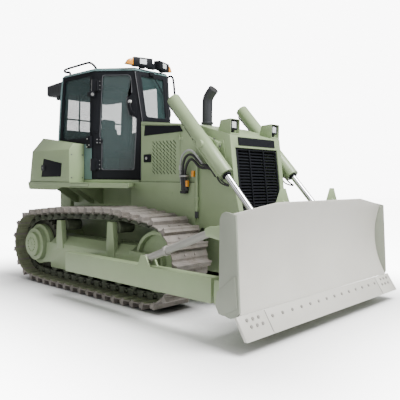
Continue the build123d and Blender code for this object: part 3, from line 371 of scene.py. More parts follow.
def track_steel(name, light, dark, oily, roughness):
    """Bare rolled steel: cloudy oxide, fine scale and rust-brown dirt in its low spots."""
    material, place, feed = finish(name, metallic=0.25, slot="track_steel")
    cloud = place.noise(6.0, 4.0).clamped(0.35, 0.68)
    grit = place.noise(85.0, 3.0, 0.6)
    base = cloud.mixed(dark, light)
    dirt = (grit * cloud).clamped(0.22, 0.5)
    feed(Base_Color=(1 - dirt * 0.6).mixed(oily, base), Roughness=roughness + grit * 0.25,
         Normal=bump(place, grit, 0.35, 0.0015))
    return material


def given(piece, material, *replaced, body="machine", slot=None):
    """Finishes a piece: its material, smooth rounds, body and the nodes it stands for."""
    chosen(piece)
    piece.data.materials.clear()
    piece.data.materials.append(material)
    bpy.ops.object.shade_smooth_by_angle(angle=radians(38))
    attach(piece, body)
    if replaced:
        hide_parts(*replaced)


shoe_steel = track_steel("shoe_steel", (0.3, 0.272, 0.246), (0.19, 0.172, 0.156),
                         (0.1, 0.08, 0.065), 0.42)
chain_steel = track_steel("chain_steel", (0.125, 0.145, 0.095), (0.05, 0.056, 0.04),
                          (0.012, 0.012, 0.01), 0.4)
back_paint = track_steel("back_paint", (0.3, 0.325, 0.215), (0.19, 0.205, 0.135),
                         (0.09, 0.09, 0.06), 0.5)

# one shoe, modelled at the origin: along X, its top face outwards along Z from the pins' line
grouser_rear, grouser_front, grouser_root = 0.046, 0.08, 0.018
clear_selection()
bpy.ops.mesh.primitive_cube_add(size=1, location=(0, 0, pin_to_shoe + shoe_plate / 2),
                                scale=(shoe_length, shoe_width, shoe_plate))
shoe = settle(bpy.context.object)
opened(shoe)
bpy.ops.mesh.bisect(plane_co=(grouser_rear, 0, 0), plane_no=(1, 0, 0))
bpy.ops.mesh.select_all(action="SELECT")
bpy.ops.mesh.bisect(plane_co=(grouser_front, 0, 0), plane_no=(1, 0, 0))
picked(shoe, lambda face: face.normal.z > 0.9
       and grouser_rear < face.calc_center_median().x < grouser_front)
# the grouser is drawn up from the plate in two steps, narrower at its tip
drawn_out((0, 0, grouser_root))
bpy.ops.transform.resize(value=(0.72, 1, 1))
drawn_out((0, 0, grouser_height - grouser_root))
bpy.ops.transform.resize(value=(0.62, 0.99, 1))
# the trailing edge of the plate is drawn out into a lip that tucks under the next shoe
picked(shoe, lambda face: face.normal.x < -0.9)
drawn_out((-0.016, 0, -0.016))
drawn_out((-0.032, 0, -0.004))
bpy.ops.mesh.select_all(action="SELECT")
broken_edges(0.0025)
closed()
bolt_foot, bolt_top = pin_to_shoe + shoe_plate - 0.002, pin_to_shoe + shoe_plate + 0.011
shoe = joined("shoe", [shoe] + [
    rod("shoe_bolt", (x, y, bolt_foot), (x, y, bolt_top), 0.017, 6)
    for x in (-0.055, 0.018) for y in (-link_offset, link_offset)])


def back_strip(name, rear, front):
    """A thin strip across a shoe's inner face, between two (x, depth) lines."""
    corners = [(x, y, pin_to_shoe - depth) for (x, depth), y in
               ((rear, -0.3), (front, -0.3), (front, 0.3), (rear, 0.3))]
    return sheet(name, corners, (0, 0, 0.001), 0)


# the shoe's inner face keeps its paint, as nothing rubs on it
back = joined("back", [
    block("back_plate", (-0.09, -0.3, pin_to_shoe - 0.002), (0.09, 0.3, pin_to_shoe - 0.0002), 0),
    back_strip("back_lip", (-0.092, 0.0025), (-0.108, 0.0185)),
    back_strip("back_tip", (-0.108, 0.0185), (-0.139, 0.0225))])

# one link: a pair of rails waisted between their round bosses, with a bushing across
link_parts = []
for side in (-1, 1):
    inner_y, outer_y = side * link_offset - link_width / 2, side * link_offset + link_width / 2
    link_parts += [
        block("rail", (-half_pitch + 0.012, inner_y, -pin_to_tread + 0.001),
              (half_pitch - 0.012, outer_y, -0.002), 0.006, 2),
        block("foot", (-0.07, inner_y, -0.006), (0.045, outer_y, pin_to_shoe - 0.0005), 0.005)]
    link_parts += [rod("boss", (x, inner_y - 0.004, 0), (x, outer_y + 0.004, 0),
                       0.0385, 18, 0.004) for x in (-half_pitch, half_pitch)]
for name, reach, radius, sides, bevel in (
        ("bushing", link_offset - 0.01, 0.03, 16, 0.002),
        ("pin_end", link_offset + link_width / 2 + 0.008, 0.021, 14, 0.003)):
    link_parts.append(rod(name, (-half_pitch, -reach, 0), (-half_pitch, reach, 0),
                          radius, sides, bevel))
link = joined("link", link_parts)

for side, side_name in ((-1, "right"), (1, "left")):
    shoes, links, backs = [], [], []
    for here, there in zip(pins, pins[1:] + pins[:1]):
        heading = atan2(there[1] - here[1], there[0] - here[0])
        middle = ((here[0] + there[0]) / 2, side * gauge / 2, (here[1] + there[1]) / 2)
        # a link's own Z points out of the loop, away from the wheels
        place = (Matrix.Translation(middle) @ Matrix.Rotation(-heading, 4, "Y")
                 @ Matrix.Rotation(pi, 4, "X"))
        for copies, original in ((shoes, shoe), (links, link), (backs, back)):
            copies.append(copy_placed(original, place))
    given(joined("shoe_backs_" + side_name, backs), back_paint)
    given(joined("shoes_" + side_name, shoes), shoe_steel, "track_" + side_name)
    given(joined("chain_" + side_name, links), chain_steel)
dropped(shoe, link, back)

# ---- Track frames and their wheels -----------------------------------------------------------
# Welded box frames painted with the body, turned rollers and idlers of cast steel, and the
# sprockets' hardened teeth. The wheels' treads are rubbed bright, their dishes are painted.


def height_of(place):
    """How high a point stands, in metres."""
    return place.node("ShaderNodeSeparateXYZ", {"Vector": place}, 2)


def paint(name, colour, shade=0.86, roughness=0.4, dust=0.22, coat=0.2, slot=None, **constants):
    """Sprayed enamel: faint clouds of colour, orange peel, and dust that thins with height."""
    material, place, feed = finish(name, roughness, slot=slot, Coat_Weight=coat,
                                   Coat_Roughness=0.22, **constants)
    cloud = place.noise(1.6, 4.0).clamped(0.3, 0.72)
    low = (1.5 - height_of(place)).clamped(0.0, 1.5)
    dusty = place.noise(5.0, 6.0, 0.65).clamped(0.42, 0.72) * low * dust
    deep = tuple(channel * shade for channel in colour)
    base = dusty.mixed(cloud.mixed(deep, colour), (0.3, 0.27, 0.22))
    feed(Base_Color=base, Roughness=roughness + cloud * 0.06 + dusty * 0.5,
         Normal=bump(place, place.noise(340.0, 1.0), 0.05, 0.0006))
    return material


def bare_metal(name, light, dark, roughness, metallic=0.85, slot="strut_steel"):
    """Metal with no paint: cloudy grey, fine scratches, uneven gloss."""
    material, place, feed = finish(name, roughness, metallic, slot)
    cloud = place.noise(9.0, 4.0).clamped(0.3, 0.7)
    grain = place.noise(160.0, 2.0)
    feed(Base_Color=cloud.mixed(dark, light), Roughness=roughness + grain * 0.16,
         Normal=bump(place, grain, 0.1, 0.0006))
    return material


def softened(node, name, width=0.004, segments=2):
    """A copy of a node's own shape with its corners broken, to stand for it."""
    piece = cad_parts[node].copy()
    piece.data = piece.data.copy()
    piece.parent = None
    piece.matrix_world = Matrix.Identity(4)
    for key in [key for key in piece.keys() if key.startswith("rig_")]:
        del piece[key]
    bpy.context.collection.objects.link(piece)
    piece.name = name
    piece.data.name = name
    opened(piece)
    bpy.ops.mesh.remove_doubles(threshold=0.00002)
    bpy.ops.mesh.dissolve_limited(angle_limit=radians(0.5))
    closed()
    bpy.ops.mesh.customdata_custom_splitnormals_clear()
    if width:
        bpy.ops.object.modifier_add(type="BEVEL")
        edge = piece.modifiers[-1]
        edge.width, edge.segments = width, segments
        edge.limit_method, edge.angle_limit = "ANGLE", radians(30)
        edge.use_clamp_overlap = True
        bpy.ops.object.modifier_apply(modifier=edge.name)
    return piece


def dressed(node, name, material, width=0.004, segments=2, body="machine", slot=None):
    """Finishes a softened copy of a node, which stands for it."""
    given(softened(node, name, width, segments), material, node, body=body, slot=slot)


def mirrored(piece, name):
    """The left twin of a piece on the right."""
    twin = copy_placed(piece, Matrix.Scale(-1, 4, (0, 1, 0)))
    twin.name = name
    twin.data.flip_normals()
    return twin


def given_pair(piece, material, *replaced, body="machine", slot=None):
    """Finishes a right-hand piece and its left twin, each riding its own side's body."""
    name = piece.name
    twin = mirrored(piece, name + "_left")
    piece.name = name + "_right"
    given(piece, material, *replaced, body=body, slot=slot)
    left_nodes = [node.replace("right", "left") for node in replaced if "right" in node]
    given(twin, material, *left_nodes, body=body.replace("right", "left"), slot=slot)


def bolts(name, places, radius, height, sides=6, facing=(0, -1, 0)):
    """A bolt head at each place, standing out along the facing direction."""
    bolt = rod("bolt", (0, 0, -0.002), (0, 0, height), radius, sides, height * 0.2)
    turn = Vector(facing).to_track_quat("Z", "Y").to_matrix().to_4x4()
    heads = [copy_placed(bolt, Matrix.Translation(place) @ turn) for place in places]
    dropped(bolt)
    return joined(name, heads)


dull_metal = bare_metal("dull_metal", (0.26, 0.26, 0.26), (0.12, 0.12, 0.12), 0.4)
bright_metal = bare_metal("bright_metal", (0.62, 0.62, 0.61), (0.4, 0.4, 0.39), 0.25)
body_green = (0.3, 0.385, 0.215)
body_paint = paint("body_paint", body_green)
dark_steel = bare_metal("dark_steel", (0.105, 0.122, 0.082), (0.042, 0.048, 0.033), 0.42, 0.3,
                        "dark_steel")
sprocket_steel = bare_metal("sprocket_steel", (0.12, 0.125, 0.095), (0.05, 0.054, 0.04), 0.36,
                            0.5, "dark_steel")
dressed("track_frames", "roller_frames", body_paint, 0.006)
dressed("rollers", "track_rollers", dark_steel)
dressed("sprockets", "drive_sprockets", sprocket_steel, 0.003)
dressed("idlers", "front_idlers", body_paint, 0.005)
dressed("final_drives", "drive_covers", body_paint, 0.008, 3)

drive_x, drive_z = -2.075, 0.575


def bolt_ring(name, ring_radius, y, count, turn, radius):
    """Bolts evenly round the right final drive's cover."""
    angles = [2 * pi * number / count + turn for number in range(count)]
    return bolts(name, [(drive_x + ring_radius * cos(angle), y, drive_z + ring_radius * sin(angle))
                        for angle in angles], radius, 0.01)


given_pair(joined("drive_bolts", [
    bolt_ring("cover_bolts", 0.105, -1.212, 14, 0, 0.013),
    bolt_ring("rim_bolts", 0.15, -1.196, 16, 0.2, 0.011),
    rod("hub_plug", (drive_x, -1.208, drive_z), (drive_x, -1.219, drive_z), 0.03, 6, 0.003)]),
    body_paint)

# ---- Hull and drawbar ------------------------------------------------------------------------
# The hull is a box welded of thick plate, and everything is bolted to it. The pin plates of the
# drawbar stand out behind it. Both wear the body's green, darkened to 0.8 of it and dustier.
hull_paint = paint("hull_paint", tuple(channel * 0.8 for channel in body_green), dust=0.45,
                   slot="body_paint")
dressed("main_frame", "hull", hull_paint, 0.006)
dressed("drawbar", "drawbar_plates", hull_paint, 0.005)

# ---- Engine, radiator and their housing ------------------------------------------------------
# Sheet steel folded and sprayed with the body's green, with the slotted service doors and the
# front grille sprayed black. The engine and radiator behind them are dark masses.
black_paint = paint("black_paint", (0.008, 0.009, 0.012), 0.8, 0.5, 0.03, 0.0,
                    Specular_IOR_Level=0.15)
lamp_black = paint("lamp_black", (0.03, 0.033, 0.038), 0.8, 0.5, 0.06, 0.0)
soot_black = paint("engine_black", (0.012, 0.012, 0.012), 0.8, 0.6, 0.0, 0.0, "lamp_black")
dressed("engine_block", "engine", soot_black, 0.02, slot="dark_steel")
dressed("radiator", "radiator_core", soot_black)
dressed("hood", "engine_hood", body_paint)
dressed("engine_skirts", "lower_skirts", body_paint, 0.0025)
dressed("radiator_guard", "nose_housing", body_paint, 0.008, 3)
for side in ("right", "left"):
    door = "engine_door_" + side
    dressed(door, "service_door_" + side, body_paint, 0, body=door)
dressed("grille", "front_grille", black_paint, 0.0012, 1)


def along_side(y, spots):
    """(x, z) spots as places on an upright plane along the machine."""
    return [(x, y, z) for x, z in spots]


def side_sheet(name, outline, y_from, y_to, bevel=0.001):
    """A sheet standing along the machine, from its outline of (x, z) corners."""
    return sheet(name, along_side(y_from, outline), (0, y_to - y_from, 0), bevel)


# a black cover strip below the hood's edge, and the service door's square latch
given_pair(side_sheet("cover_strip", [(-0.145, 2.236), (0.632, 2.255), (0.576, 2.334),
                                      (-0.126, 2.38)], -0.5345, -0.5265, 0.0015), black_paint)
latch_x, latch_z = -0.068, 1.916
given_pair(joined("door_latch", [
    block("latch_plate", (-0.135, -0.5485, 1.86), (0.005, -0.5265, 1.972), 0.006, 2),
    rod("latch_ring", (latch_x, -0.547, latch_z), (latch_x, -0.556, latch_z),
        0.036, 18, 0.003)]), black_paint, body="engine_door_right")
given_pair(rod("latch_key", (latch_x, -0.552, latch_z), (latch_x, -0.562, latch_z),
               0.021, 16, 0.003), bright_metal, body="engine_door_right")
# a filler closes the step to the nose, and a folded edge stands proud along the hood's shoulder
given_pair(side_sheet("nose_filler", [(0.868, 1.004), (0.893, 1.004), (0.893, 1.584),
                                      (0.868, 1.584)], -0.5585, -0.524, 0.002), body_paint)
given_pair(side_sheet("shoulder_strip", [(-0.175, 2.398), (0.56, 2.343), (0.56, 2.36),
                                         (-0.175, 2.415)], -0.536, -0.518, 0.003), body_paint)
given_pair(bolts("skirt_bolts", along_side(-0.56, [
    (0.473, 1.44), (0.64, 1.54), (0.64, 1.08), (-0.3, 1.2), (-0.3, 1.52)]),
    0.011, 0.007), body_paint)
# a black plate closes the hull's side above each final drive: painted shade, where that side lies
# in shadow
given_pair(side_sheet("drive_shade_plate", [(-2.44, 0.83), (-1.74, 0.83), (-1.74, 1.15),
                                      (-2.44, 1.06)], -0.612, -0.6, 0.003), black_paint)

# ---- Exhaust stack ---------------------------------------------------------------------------
# A steel tube bent forward near its top and cut square at its mouth, in heat-proof dark paint. A
# collar holds it where it comes out of the hood.


def bent_tube(name, points, radius, rings=2):
    """A round tube or hose that runs smoothly along its points."""
    clear_selection()
    bpy.ops.curve.primitive_nurbs_path_add(radius=1)
    path = bpy.context.object
    path.data.splines.clear()
    line = path.data.splines.new("NURBS")
    line.points.add(len(points) - 1)
    for point, place in zip(line.points, points):
        point.co = (*place, 1)
    line.order_u = 3
    line.use_endpoint_u = True
    line.resolution_u = 4
    path.data.dimensions = "3D"
    path.data.bevel_depth = radius
    path.data.bevel_resolution = rings
    path.data.use_fill_caps = True
    bpy.ops.object.convert(target="MESH")
    piece = settle(bpy.context.object)
    piece.name = name
    return piece


stack_metal = paint("stack_metal", (0.034, 0.036, 0.042), 0.75, 0.42, 0.0, 0.0)
stack_line = along_side(0, [(0.581, 2.06), (0.581, 2.4), (0.581, 2.64), (0.583, 2.74),
                            (0.622, 2.8), (0.66, 2.836), (0.696, 2.87)])
given(bent_tube("stack", stack_line, 0.073, 5), stack_metal, "exhaust_stack")
mouth_middle = Vector(stack_line[-1])
mouth_run = (mouth_middle - Vector(stack_line[-3])).normalized() * 0.002
# a soot-black disc closes the capped mouth: soot, and painted shade for the tube's dark hollow
given(rod("stack_mouth_soot_and_shade", mouth_middle - mouth_run, mouth_middle + mouth_run, 0.063, 24, 0),
      soot_black)
given(rod("stack_foot", (0.581, 0, 2.395), (0.581, 0, 2.425), 0.086, 28, 0.005), stack_metal)

# ---- Headlamps -------------------------------------------------------------------------------
# Folded sheet housings welded on the nose, with a square work lamp bolted in each: a dark
# pressed surround, a ribbed glass and a foot under it.


def framed(name, outer, inner, thickness, bevel=0.002):
    """A flat frame between an outer and an inner run of corners."""
    loops = []
    for corners in (outer, inner):
        clear_selection()
        bpy.ops.mesh.primitive_circle_add(vertices=len(corners), radius=1)
        loops.append(bpy.context.object)
        for vertex, corner in zip(loops[-1].data.vertices, corners):
            vertex.co = corner
    piece = joined(name, loops)
    opened(piece)
    bpy.ops.mesh.bridge_edge_loops()
    bpy.ops.mesh.select_all(action="SELECT")
    drawn_out(thickness)
    bpy.ops.mesh.select_all(action="SELECT")
    bpy.ops.mesh.normals_make_consistent(inside=False)
    bpy.ops.mesh.dissolve_limited(angle_limit=radians(0.6))
    broken_edges(bevel)
    closed()
    return piece


def speckled(name, dark, light, scale, detail, roughness, relief=None, **constants):
    """A finish of fine specks between two colours, which may stand out a little."""
    material, place, feed = finish(name, roughness, **constants)
    specks = place.noise(scale, detail)
    feed(Base_Color=specks.mixed(dark, light))
    if relief:
        feed(Normal=bump(place, specks, *relief))
    return material


lens_glass = speckled("lens_glass", (0.62, 0.65, 0.68), (0.88, 0.9, 0.92), 260.0, 1.0, 0.12,
                      (0.3, 0.001), slot="lamp_lens", Coat_Weight=0.6, Coat_Roughness=0.05)
dressed("headlamps", "lamp_housings", body_paint, 0.003)
dressed("lamp_units", "nose_lamps", lens_glass)
for middle in (-0.425, 0.425):
    outer, inner = [
        [(1.419, middle - half, low), (1.419, middle + half, low),
         (1.419, middle + half, high), (1.419, middle - half, high)]
        for half, low, high in ((0.06, 2.238, 2.356), (0.038, 2.262, 2.336))]
    given(joined("lamp_body", [
        block("lamp_back", (1.372, middle - 0.07, 2.196), (1.383, middle + 0.07, 2.362), 0.002),
        framed("lamp_surround", outer, inner, (-0.034, 0, 0), 0.003),
        block("lamp_foot", (1.385, middle - 0.018, 2.205), (1.402, middle + 0.018, 2.242), 0.003),
        block("lamp_lip", (1.4, middle - 0.088, 2.362),
              (1.4345, middle + 0.088, 2.3695), 0.002)]), black_paint, slot="lamp_black")

# ---- Fenders and tanks -----------------------------------------------------------------------
# A fender of welded plate over each track, with the fuel or oil tank bolted on top of it and a
# third tank across the back of the cab. All are sprayed with the body's green.
track_fenders = softened("fenders", "track_fenders")
# the front inner corner of each is cut away along the skirt
for side in (-1, 1):
    opened(track_fenders)
    picked(track_fenders, lambda face: face.calc_center_median().y * side > 0)
    bpy.ops.mesh.bisect(plane_co=(0.15, side * 1.05, 1.5), plane_no=(0.714, side * -0.7, 0),
                        clear_outer=True, use_fill=True)
    closed()
given(track_fenders, body_paint, "fenders")
given_pair(side_sheet("fender_band", [
    (-2.452, 1.49), (-2.44, 1.458), (-2.415, 1.443), (-1.64, 1.443), (-1.48, 1.488),
    (0.14, 1.502), (0.148, 1.563), (-2.462, 1.563)], -1.0495, -1.036, 0.003), body_paint)
# painted shadow: thin black lines on the fender's side where the edges of a pressed step recess
# cast shade
given_pair(joined("step_recess_shade_lines", [
    side_sheet(name, outline, -1.0505, -1.0485, 0) for name, outline in (
        ("line_low", [(-1.235, 1.502), (-0.77, 1.504), (-0.77, 1.509), (-1.235, 1.507)]),
        ("line_high", [(-1.215, 1.548), (-0.74, 1.549), (-0.74, 1.554), (-1.215, 1.553)]),
        ("line_front", [(-0.77, 1.504), (-0.74, 1.552), (-0.733, 1.552), (-0.763, 1.504)]))]),
    lamp_black)
dressed("side_tanks", "fender_tanks", body_paint, 0.01, 3)
dressed("tank_hatches", "tank_covers", black_paint, 0.003)
dressed("rear_tank", "rear_housing", body_paint, 0.01, 3)
hatch_x, hatch_z = -2.028, 1.79
given_pair(joined("hatch_latch", [
    rod("hatch_ring", (hatch_x, -1.026, hatch_z), (hatch_x, -1.042, hatch_z), 0.046, 20, 0.005),
    block("hatch_tab", (-2.075, -1.038, 1.745), (-1.985, -1.026, 1.835), 0.006)]),
    lamp_black)
given_pair(rod("hatch_key", (hatch_x, -1.04, hatch_z), (hatch_x, -1.047, hatch_z),
               0.018, 14, 0.003), dull_metal)
given_pair(bolts("tank_bolts", [(-1.275, y, z) for y in (-0.799, -0.99) for z in (1.985, 1.638)],
                 0.012, 0.007, facing=(1, 0, 0)), dull_metal)
given_pair(side_sheet("tank_seam", [(-2.45, 1.566), (-1.285, 1.566), (-1.285, 1.571),
                                    (-2.45, 1.571)], -1.0315, -1.0295, 0), lamp_black)

# ---- Cab -------------------------------------------------------------------------------------
# A folded steel cab with rounded window cut-outs, black hinged doors and tinted safety glass in
# rubber seals. The frame is sprayed black, and the roof and the corners behind are teal.
teal_paint = paint("cab_paint", (0.125, 0.205, 0.205), 0.86, 0.4, 0.1)
glass, place, feed = finish("tinted_glass", 0.05, slot="window_glass", IOR=1.5, Coat_Weight=0.0)
feed(Alpha=place.noise(1.2, 2.0).clamped(0.0, 1.0) * 0.05 + 0.42,
     Base_Color=place.noise(0.8, 2.0).clamped(0.3, 0.7).mixed((0.036, 0.068, 0.068),
                                                              (0.046, 0.084, 0.084)))
vinyl = speckled("seat_vinyl", (0.02, 0.02, 0.022), (0.04, 0.04, 0.042), 40.0, 4.0, 0.55,
                 (0.3, 0.002))

# the front corners' posts lean back above the window sill; (height, x, half width) along each
cab_sill = 2.52
pillar_line = [(1.61, -1.075, 0.752), (3.25, -1.111, 0.702)]
solid_corner_line = [(1.61, -0.35, 0.45), (3.25, -0.5, 0.4475)]
corner_line = [(1.61, -0.47, 0.3), (cab_sill, -0.47, 0.27), (3.25, -0.585, 0.323)]


def along(line, height):
    """The x and half width of a post's line at a height."""
    height = min(max(height, line[0][0]), line[-1][0])
    for lower, upper in zip(line, line[1:]):
        if height <= upper[0]:
            share = (height - lower[0]) / (upper[0] - lower[0])
            return Vector(lower[1:]).lerp(Vector(upper[1:]), share)


def drawn_in(piece):
    """Brings the front of a cab piece in to the front posts."""
    opened(piece)
    bpy.ops.mesh.bisect(plane_co=(0, 0, cab_sill), plane_no=(0, 0, 1))
    closed()
    for vertex in piece.data.vertices:
        x, y, z = vertex.co
        pillar, old, new = [along(line, z) for line in (pillar_line, solid_corner_line,
                                                        corner_line)]
        share = (x - pillar.x) / (old.x - pillar.x)
        if share > 0:
            old_half = pillar.y + (old.y - pillar.y) * share
            new_half = pillar.y + (new.y - pillar.y) * share
            vertex.co = (pillar.x + (new.x - pillar.x) * share, y * new_half / old_half, z)
    return piece


dressed("cab_base", "cab_floor", body_paint, 0.005)
given(drawn_in(softened("cab_frame", "cab_posts", 0.006)), black_paint, "cab_frame")
given(drawn_in(softened("cab_roof", "roof_panel", 0.01, 3)), teal_paint, "cab_roof")
given(side_sheet("air_box", [(-2.604, 3.05), (-2.56, 3.018), (-2.1, 3.012), (-1.99, 3.04),
                             (-1.962, 3.246), (-2.604, 3.205)], -0.62, 0.62, 0.012),
      lamp_black, "rear_air_unit")
# painted shade: the air box's vent slots are flat sheets of a darker black, for the shadow in
# their openings
given_pair(joined("air_vent_slot_shade", [
    side_sheet("vent", [(x, 3.07), (x + 0.02, 3.07), (x + 0.02, 3.17), (x, 3.17)],
               -0.6205, -0.6195, 0) for x in (-2.54, -2.49, -2.44, -2.39, -2.34, -2.29, -2.24)]),
    soot_black)
given(drawn_in(softened("cab_glass", "cab_windows", 0)), glass, "cab_glass")
given(drawn_in(softened("dashboard", "front_console", 0.02, 3)), soot_black, "dashboard")

# the door: a pressed leaf around its kinked window, which leaves room for the handle's plate.
# Its outlines are (share of the way from the pillar to the front post, height) corners.
right_door = "cab_door_right"
door_facing = Vector((0.6, -0.8, 0.0)).normalized()
leaf_outline = [(0.08, 1.625), (0.955, 1.625), (0.955, 2.5), (0.95, 2.56), (0.93, 3.2),
                (0.915, 3.222), (0.09, 3.222), (0.08, 3.205)]
window_outline = [
    (0.217, 3.14), (0.228, 3.168), (0.263, 3.179), (0.802, 3.178), (0.843, 3.155),
    (0.86, 3.108), (0.839, 2.913), (0.722, 2.85), (0.706, 2.82), (0.72, 2.6),
    (0.738, 2.575), (0.84, 2.548), (0.864, 2.515), (0.843, 1.802), (0.83, 1.775),
    (0.798, 1.767), (0.238, 1.767), (0.206, 1.775), (0.198, 1.8), (0.197, 2.204),
    (0.155, 2.25), (0.15, 2.285)]
plate_outline = [(0.726, 2.842), (0.85, 2.89), (0.905, 2.86), (0.915, 2.7), (0.9, 2.56),
                 (0.86, 2.545), (0.74, 2.585), (0.718, 2.7)]


def door_spot(share, height, out=0.0):
    """A place on the right door's face, or so far out from it."""
    pillar, corner = along(pillar_line, height), along(corner_line, height)
    run = corner - pillar
    spot = pillar.lerp(corner, share) + Vector((-run.y, run.x)).normalized() * out
    return (spot.x, -spot.y, height)


def on_door(outline, out=0.004):
    return [door_spot(*spot, out) for spot in outline]


def door_stud(name, share, height, out_from, out_to, radius, sides, bevel):
    """A round piece that stands out from the door's face."""
    return rod(name, door_spot(share, height, out_from), door_spot(share, height, out_to),
               radius, sides, bevel)


def grown_window(sideways, upright):
    """The window's outline, set a little further out from its middle."""
    return [(share + (sideways if share > 0.5 else -sideways),
             height + (upright if height > 2.9 else -upright if height < 2.0 else 0))
            for share, height in window_outline]


given_pair(framed("door_leaf", on_door(leaf_outline), on_door(window_outline),
                  door_facing * -0.036, 0.003), black_paint, right_door, body=right_door)
# painted highlight: the seals' rubber is a grey lighter than black rubber, for the light line
# along their edges
seal_rubber_and_highlight = paint("seal_rubber_and_highlight", (0.085, 0.088, 0.098), 0.8, 0.35, 0.0, 0.2, "hose_rubber")
given_pair(framed("window_seal", on_door(grown_window(0.016, 0.01)),
                  on_door(grown_window(0.003, 0.002)), door_facing * 0.006, 0.001),
           seal_rubber_and_highlight, body=right_door)
given_pair(sheet("door_pane", on_door(grown_window(0.006, 0.004), -0.012),
                 door_facing * -0.005, 0), glass, "door_glass_right", body=right_door)
given_pair(sheet("handle_plate", on_door(plate_outline), door_facing * 0.01, 0.003),
           black_paint, body=right_door)
given_pair(joined("handle_lock", [
    door_stud("lock_ring", 0.783, 2.781, 0.012, 0.03, 0.03, 20, 0.004),
    door_stud("lock_face", 0.783, 2.781, 0.028, 0.036, 0.018, 20, 0.003)]),
    bright_metal, body=right_door)
given_pair(joined("handle_bar", [
    bent_tube("grip", [door_spot(*spot) for spot in (
        (0.772, 2.775, 0.016), (0.772, 2.76, 0.04), (0.79, 2.69, 0.045),
        (0.808, 2.62, 0.04), (0.812, 2.6, 0.014))], 0.011),
    door_stud("grip_foot", 0.82, 2.612, 0.01, 0.032, 0.022, 16, 0.004)]),
    black_paint, body=right_door)


def hinge_flat(name, near, far, out, thickness, bevel):
    """A plate on the door's face, as high as the hinge, between two shares of its width."""
    corners = [(near, low), (far, low), (far, high), (near, high)]
    return sheet(name, on_door(corners, out), door_facing * thickness, bevel)


# hinges: a flat on the door and one on the pillar around a common knuckle, bolted through
for height, half_height in ((1.835, 0.092), (3.03, 0.09)):
    low, high = height - half_height, height + half_height
    knuckle = rod("hinge_knuckle", door_spot(0.098, height - half_height * 0.8, 0.024),
                  door_spot(0.098, height + half_height * 0.8, 0.024), 0.018, 14, 0.003)
    given_pair(joined("door_hinge", [
        hinge_flat("door_flat", 0.1, 0.185, 0.004, 0.014, 0.003), knuckle]),
        black_paint, body=right_door)
    given_pair(bolts("hinge_bolts", [door_spot(0.15, height + step, 0.018) for step in
                                     (-0.062, 0.0, 0.062)], 0.009, 0.008, facing=door_facing),
               dull_metal, body=right_door)
    given_pair(hinge_flat("pillar_flat", -0.03, 0.085, 0.006, 0.022, 0.004), black_paint)
    given_pair(rod("pillar_strip", door_spot(-0.035, low, 0.016),
                   door_spot(-0.035, high, 0.016), 0.008, 10, 0.002), dull_metal)

# the door's stop: a round plate with four bolts, held by a bracket on the pillar
stop_share, stop_z = 0.125, 2.191
given_pair(door_stud("stop_plate", stop_share, stop_z, 0.004, 0.022, 0.056, 24, 0.005),
           black_paint, body=right_door)
given_pair(bolts("stop_bolts", [
    door_spot(stop_share + across, stop_z + up, 0.022) for across, up in
    ((-0.032, 0.024), (0.032, 0.02), (-0.03, -0.024), (0.028, -0.026))],
    0.012, 0.008, facing=door_facing), dull_metal, body=right_door)
given_pair(joined("stop_arm", [
    block("stop_bracket", (-1.19, -0.79, 2.085), (-1.085, -0.745, 2.265), 0.006),
    rod("stop_pin", (-1.14, -0.8, 2.225), (-1.14, -0.77, 2.225), 0.03, 16, 0.004)]), black_paint)
given_pair(bolts("bracket_bolts", [(-1.165, -0.79, 2.105), (-1.11, -0.79, 2.13),
                                   (-1.14, -0.8, 2.225)], 0.012, 0.01), bright_metal)
given_pair(joined("pillar_lamp", [
    rod("lamp_can", (-1.11, -0.77, 2.89), (-1.03, -0.785, 2.885), 0.05, 20, 0.008),
    rod("lamp_stalk", (-1.11, -0.715, 2.89), (-1.11, -0.775, 2.89),
        0.016, 12, 0.002)]), black_paint, slot="lamp_black")
given_pair(rod("pillar_lens", (-1.034, -0.7843, 2.885), (-1.027, -0.7856, 2.885),
               0.026, 20, 0.003), dull_metal, slot="lamp_lens")

# round-edged front posts, and the windshield's narrow frame between them


def front_spot(y, height, out=0.0):
    return (along(corner_line, height).x + out, y, height)


post_heights = (2.0, 2.45, 2.52, 2.6, 2.9, 3.235)
given_pair(bent_tube("front_post", [
    front_spot(0.01 - along(corner_line, z).y, z, -0.012) for z in (1.625, *post_heights)],
    0.03, 3), black_paint)
# painted highlight: a thin grey rubber strip down the door's front edge stands for the light line
# along the front post
given_pair(bent_tube("post_highlight_strip", [door_spot(0.985, z, 0.012) for z in (1.63, *post_heights)],
                     0.006), seal_rubber_and_highlight)
frame_corners = [(side * along(corner_line, z).y, z) for side, z in (
    (-1, 2.5), (1, 2.5), (1, 2.53), (1, 3.245), (-1, 3.245), (-1, 2.53))]
frame_opening = [
    (-0.2, 2.6), (-0.19, 2.575), (-0.165, 2.562), (0.165, 2.562), (0.19, 2.575),
    (0.2, 2.6), (0.226, 3.16), (0.218, 3.19), (0.19, 3.205), (-0.19, 3.205),
    (-0.218, 3.19), (-0.226, 3.16)]
given(framed("windshield_frame", [front_spot(*spot, 0.004) for spot in frame_corners],
             [front_spot(*spot, 0.004) for spot in frame_opening], (-0.03, 0, 0), 0.003),
      black_paint)
arm_line = ((-0.03, 3.235, 0.03), (-0.01, 3.2, 0.034), (0.08, 3.08, 0.034), (0.17, 2.93, 0.03))
blade_line = ((0.185, 3.08, 0.022), (0.18, 2.95, 0.026), (0.17, 2.8, 0.026), (0.16, 2.66, 0.022))
given(joined("wiper", [
    bent_tube("wiper_arm", [front_spot(*spot) for spot in arm_line], 0.008),
    bent_tube("wiper_blade", [front_spot(*spot) for spot in blade_line], 0.007),
    block("wiper_motor", (-0.59, -0.07, 3.2), (-0.545, 0.02, 3.262), 0.008)]),
    black_paint)
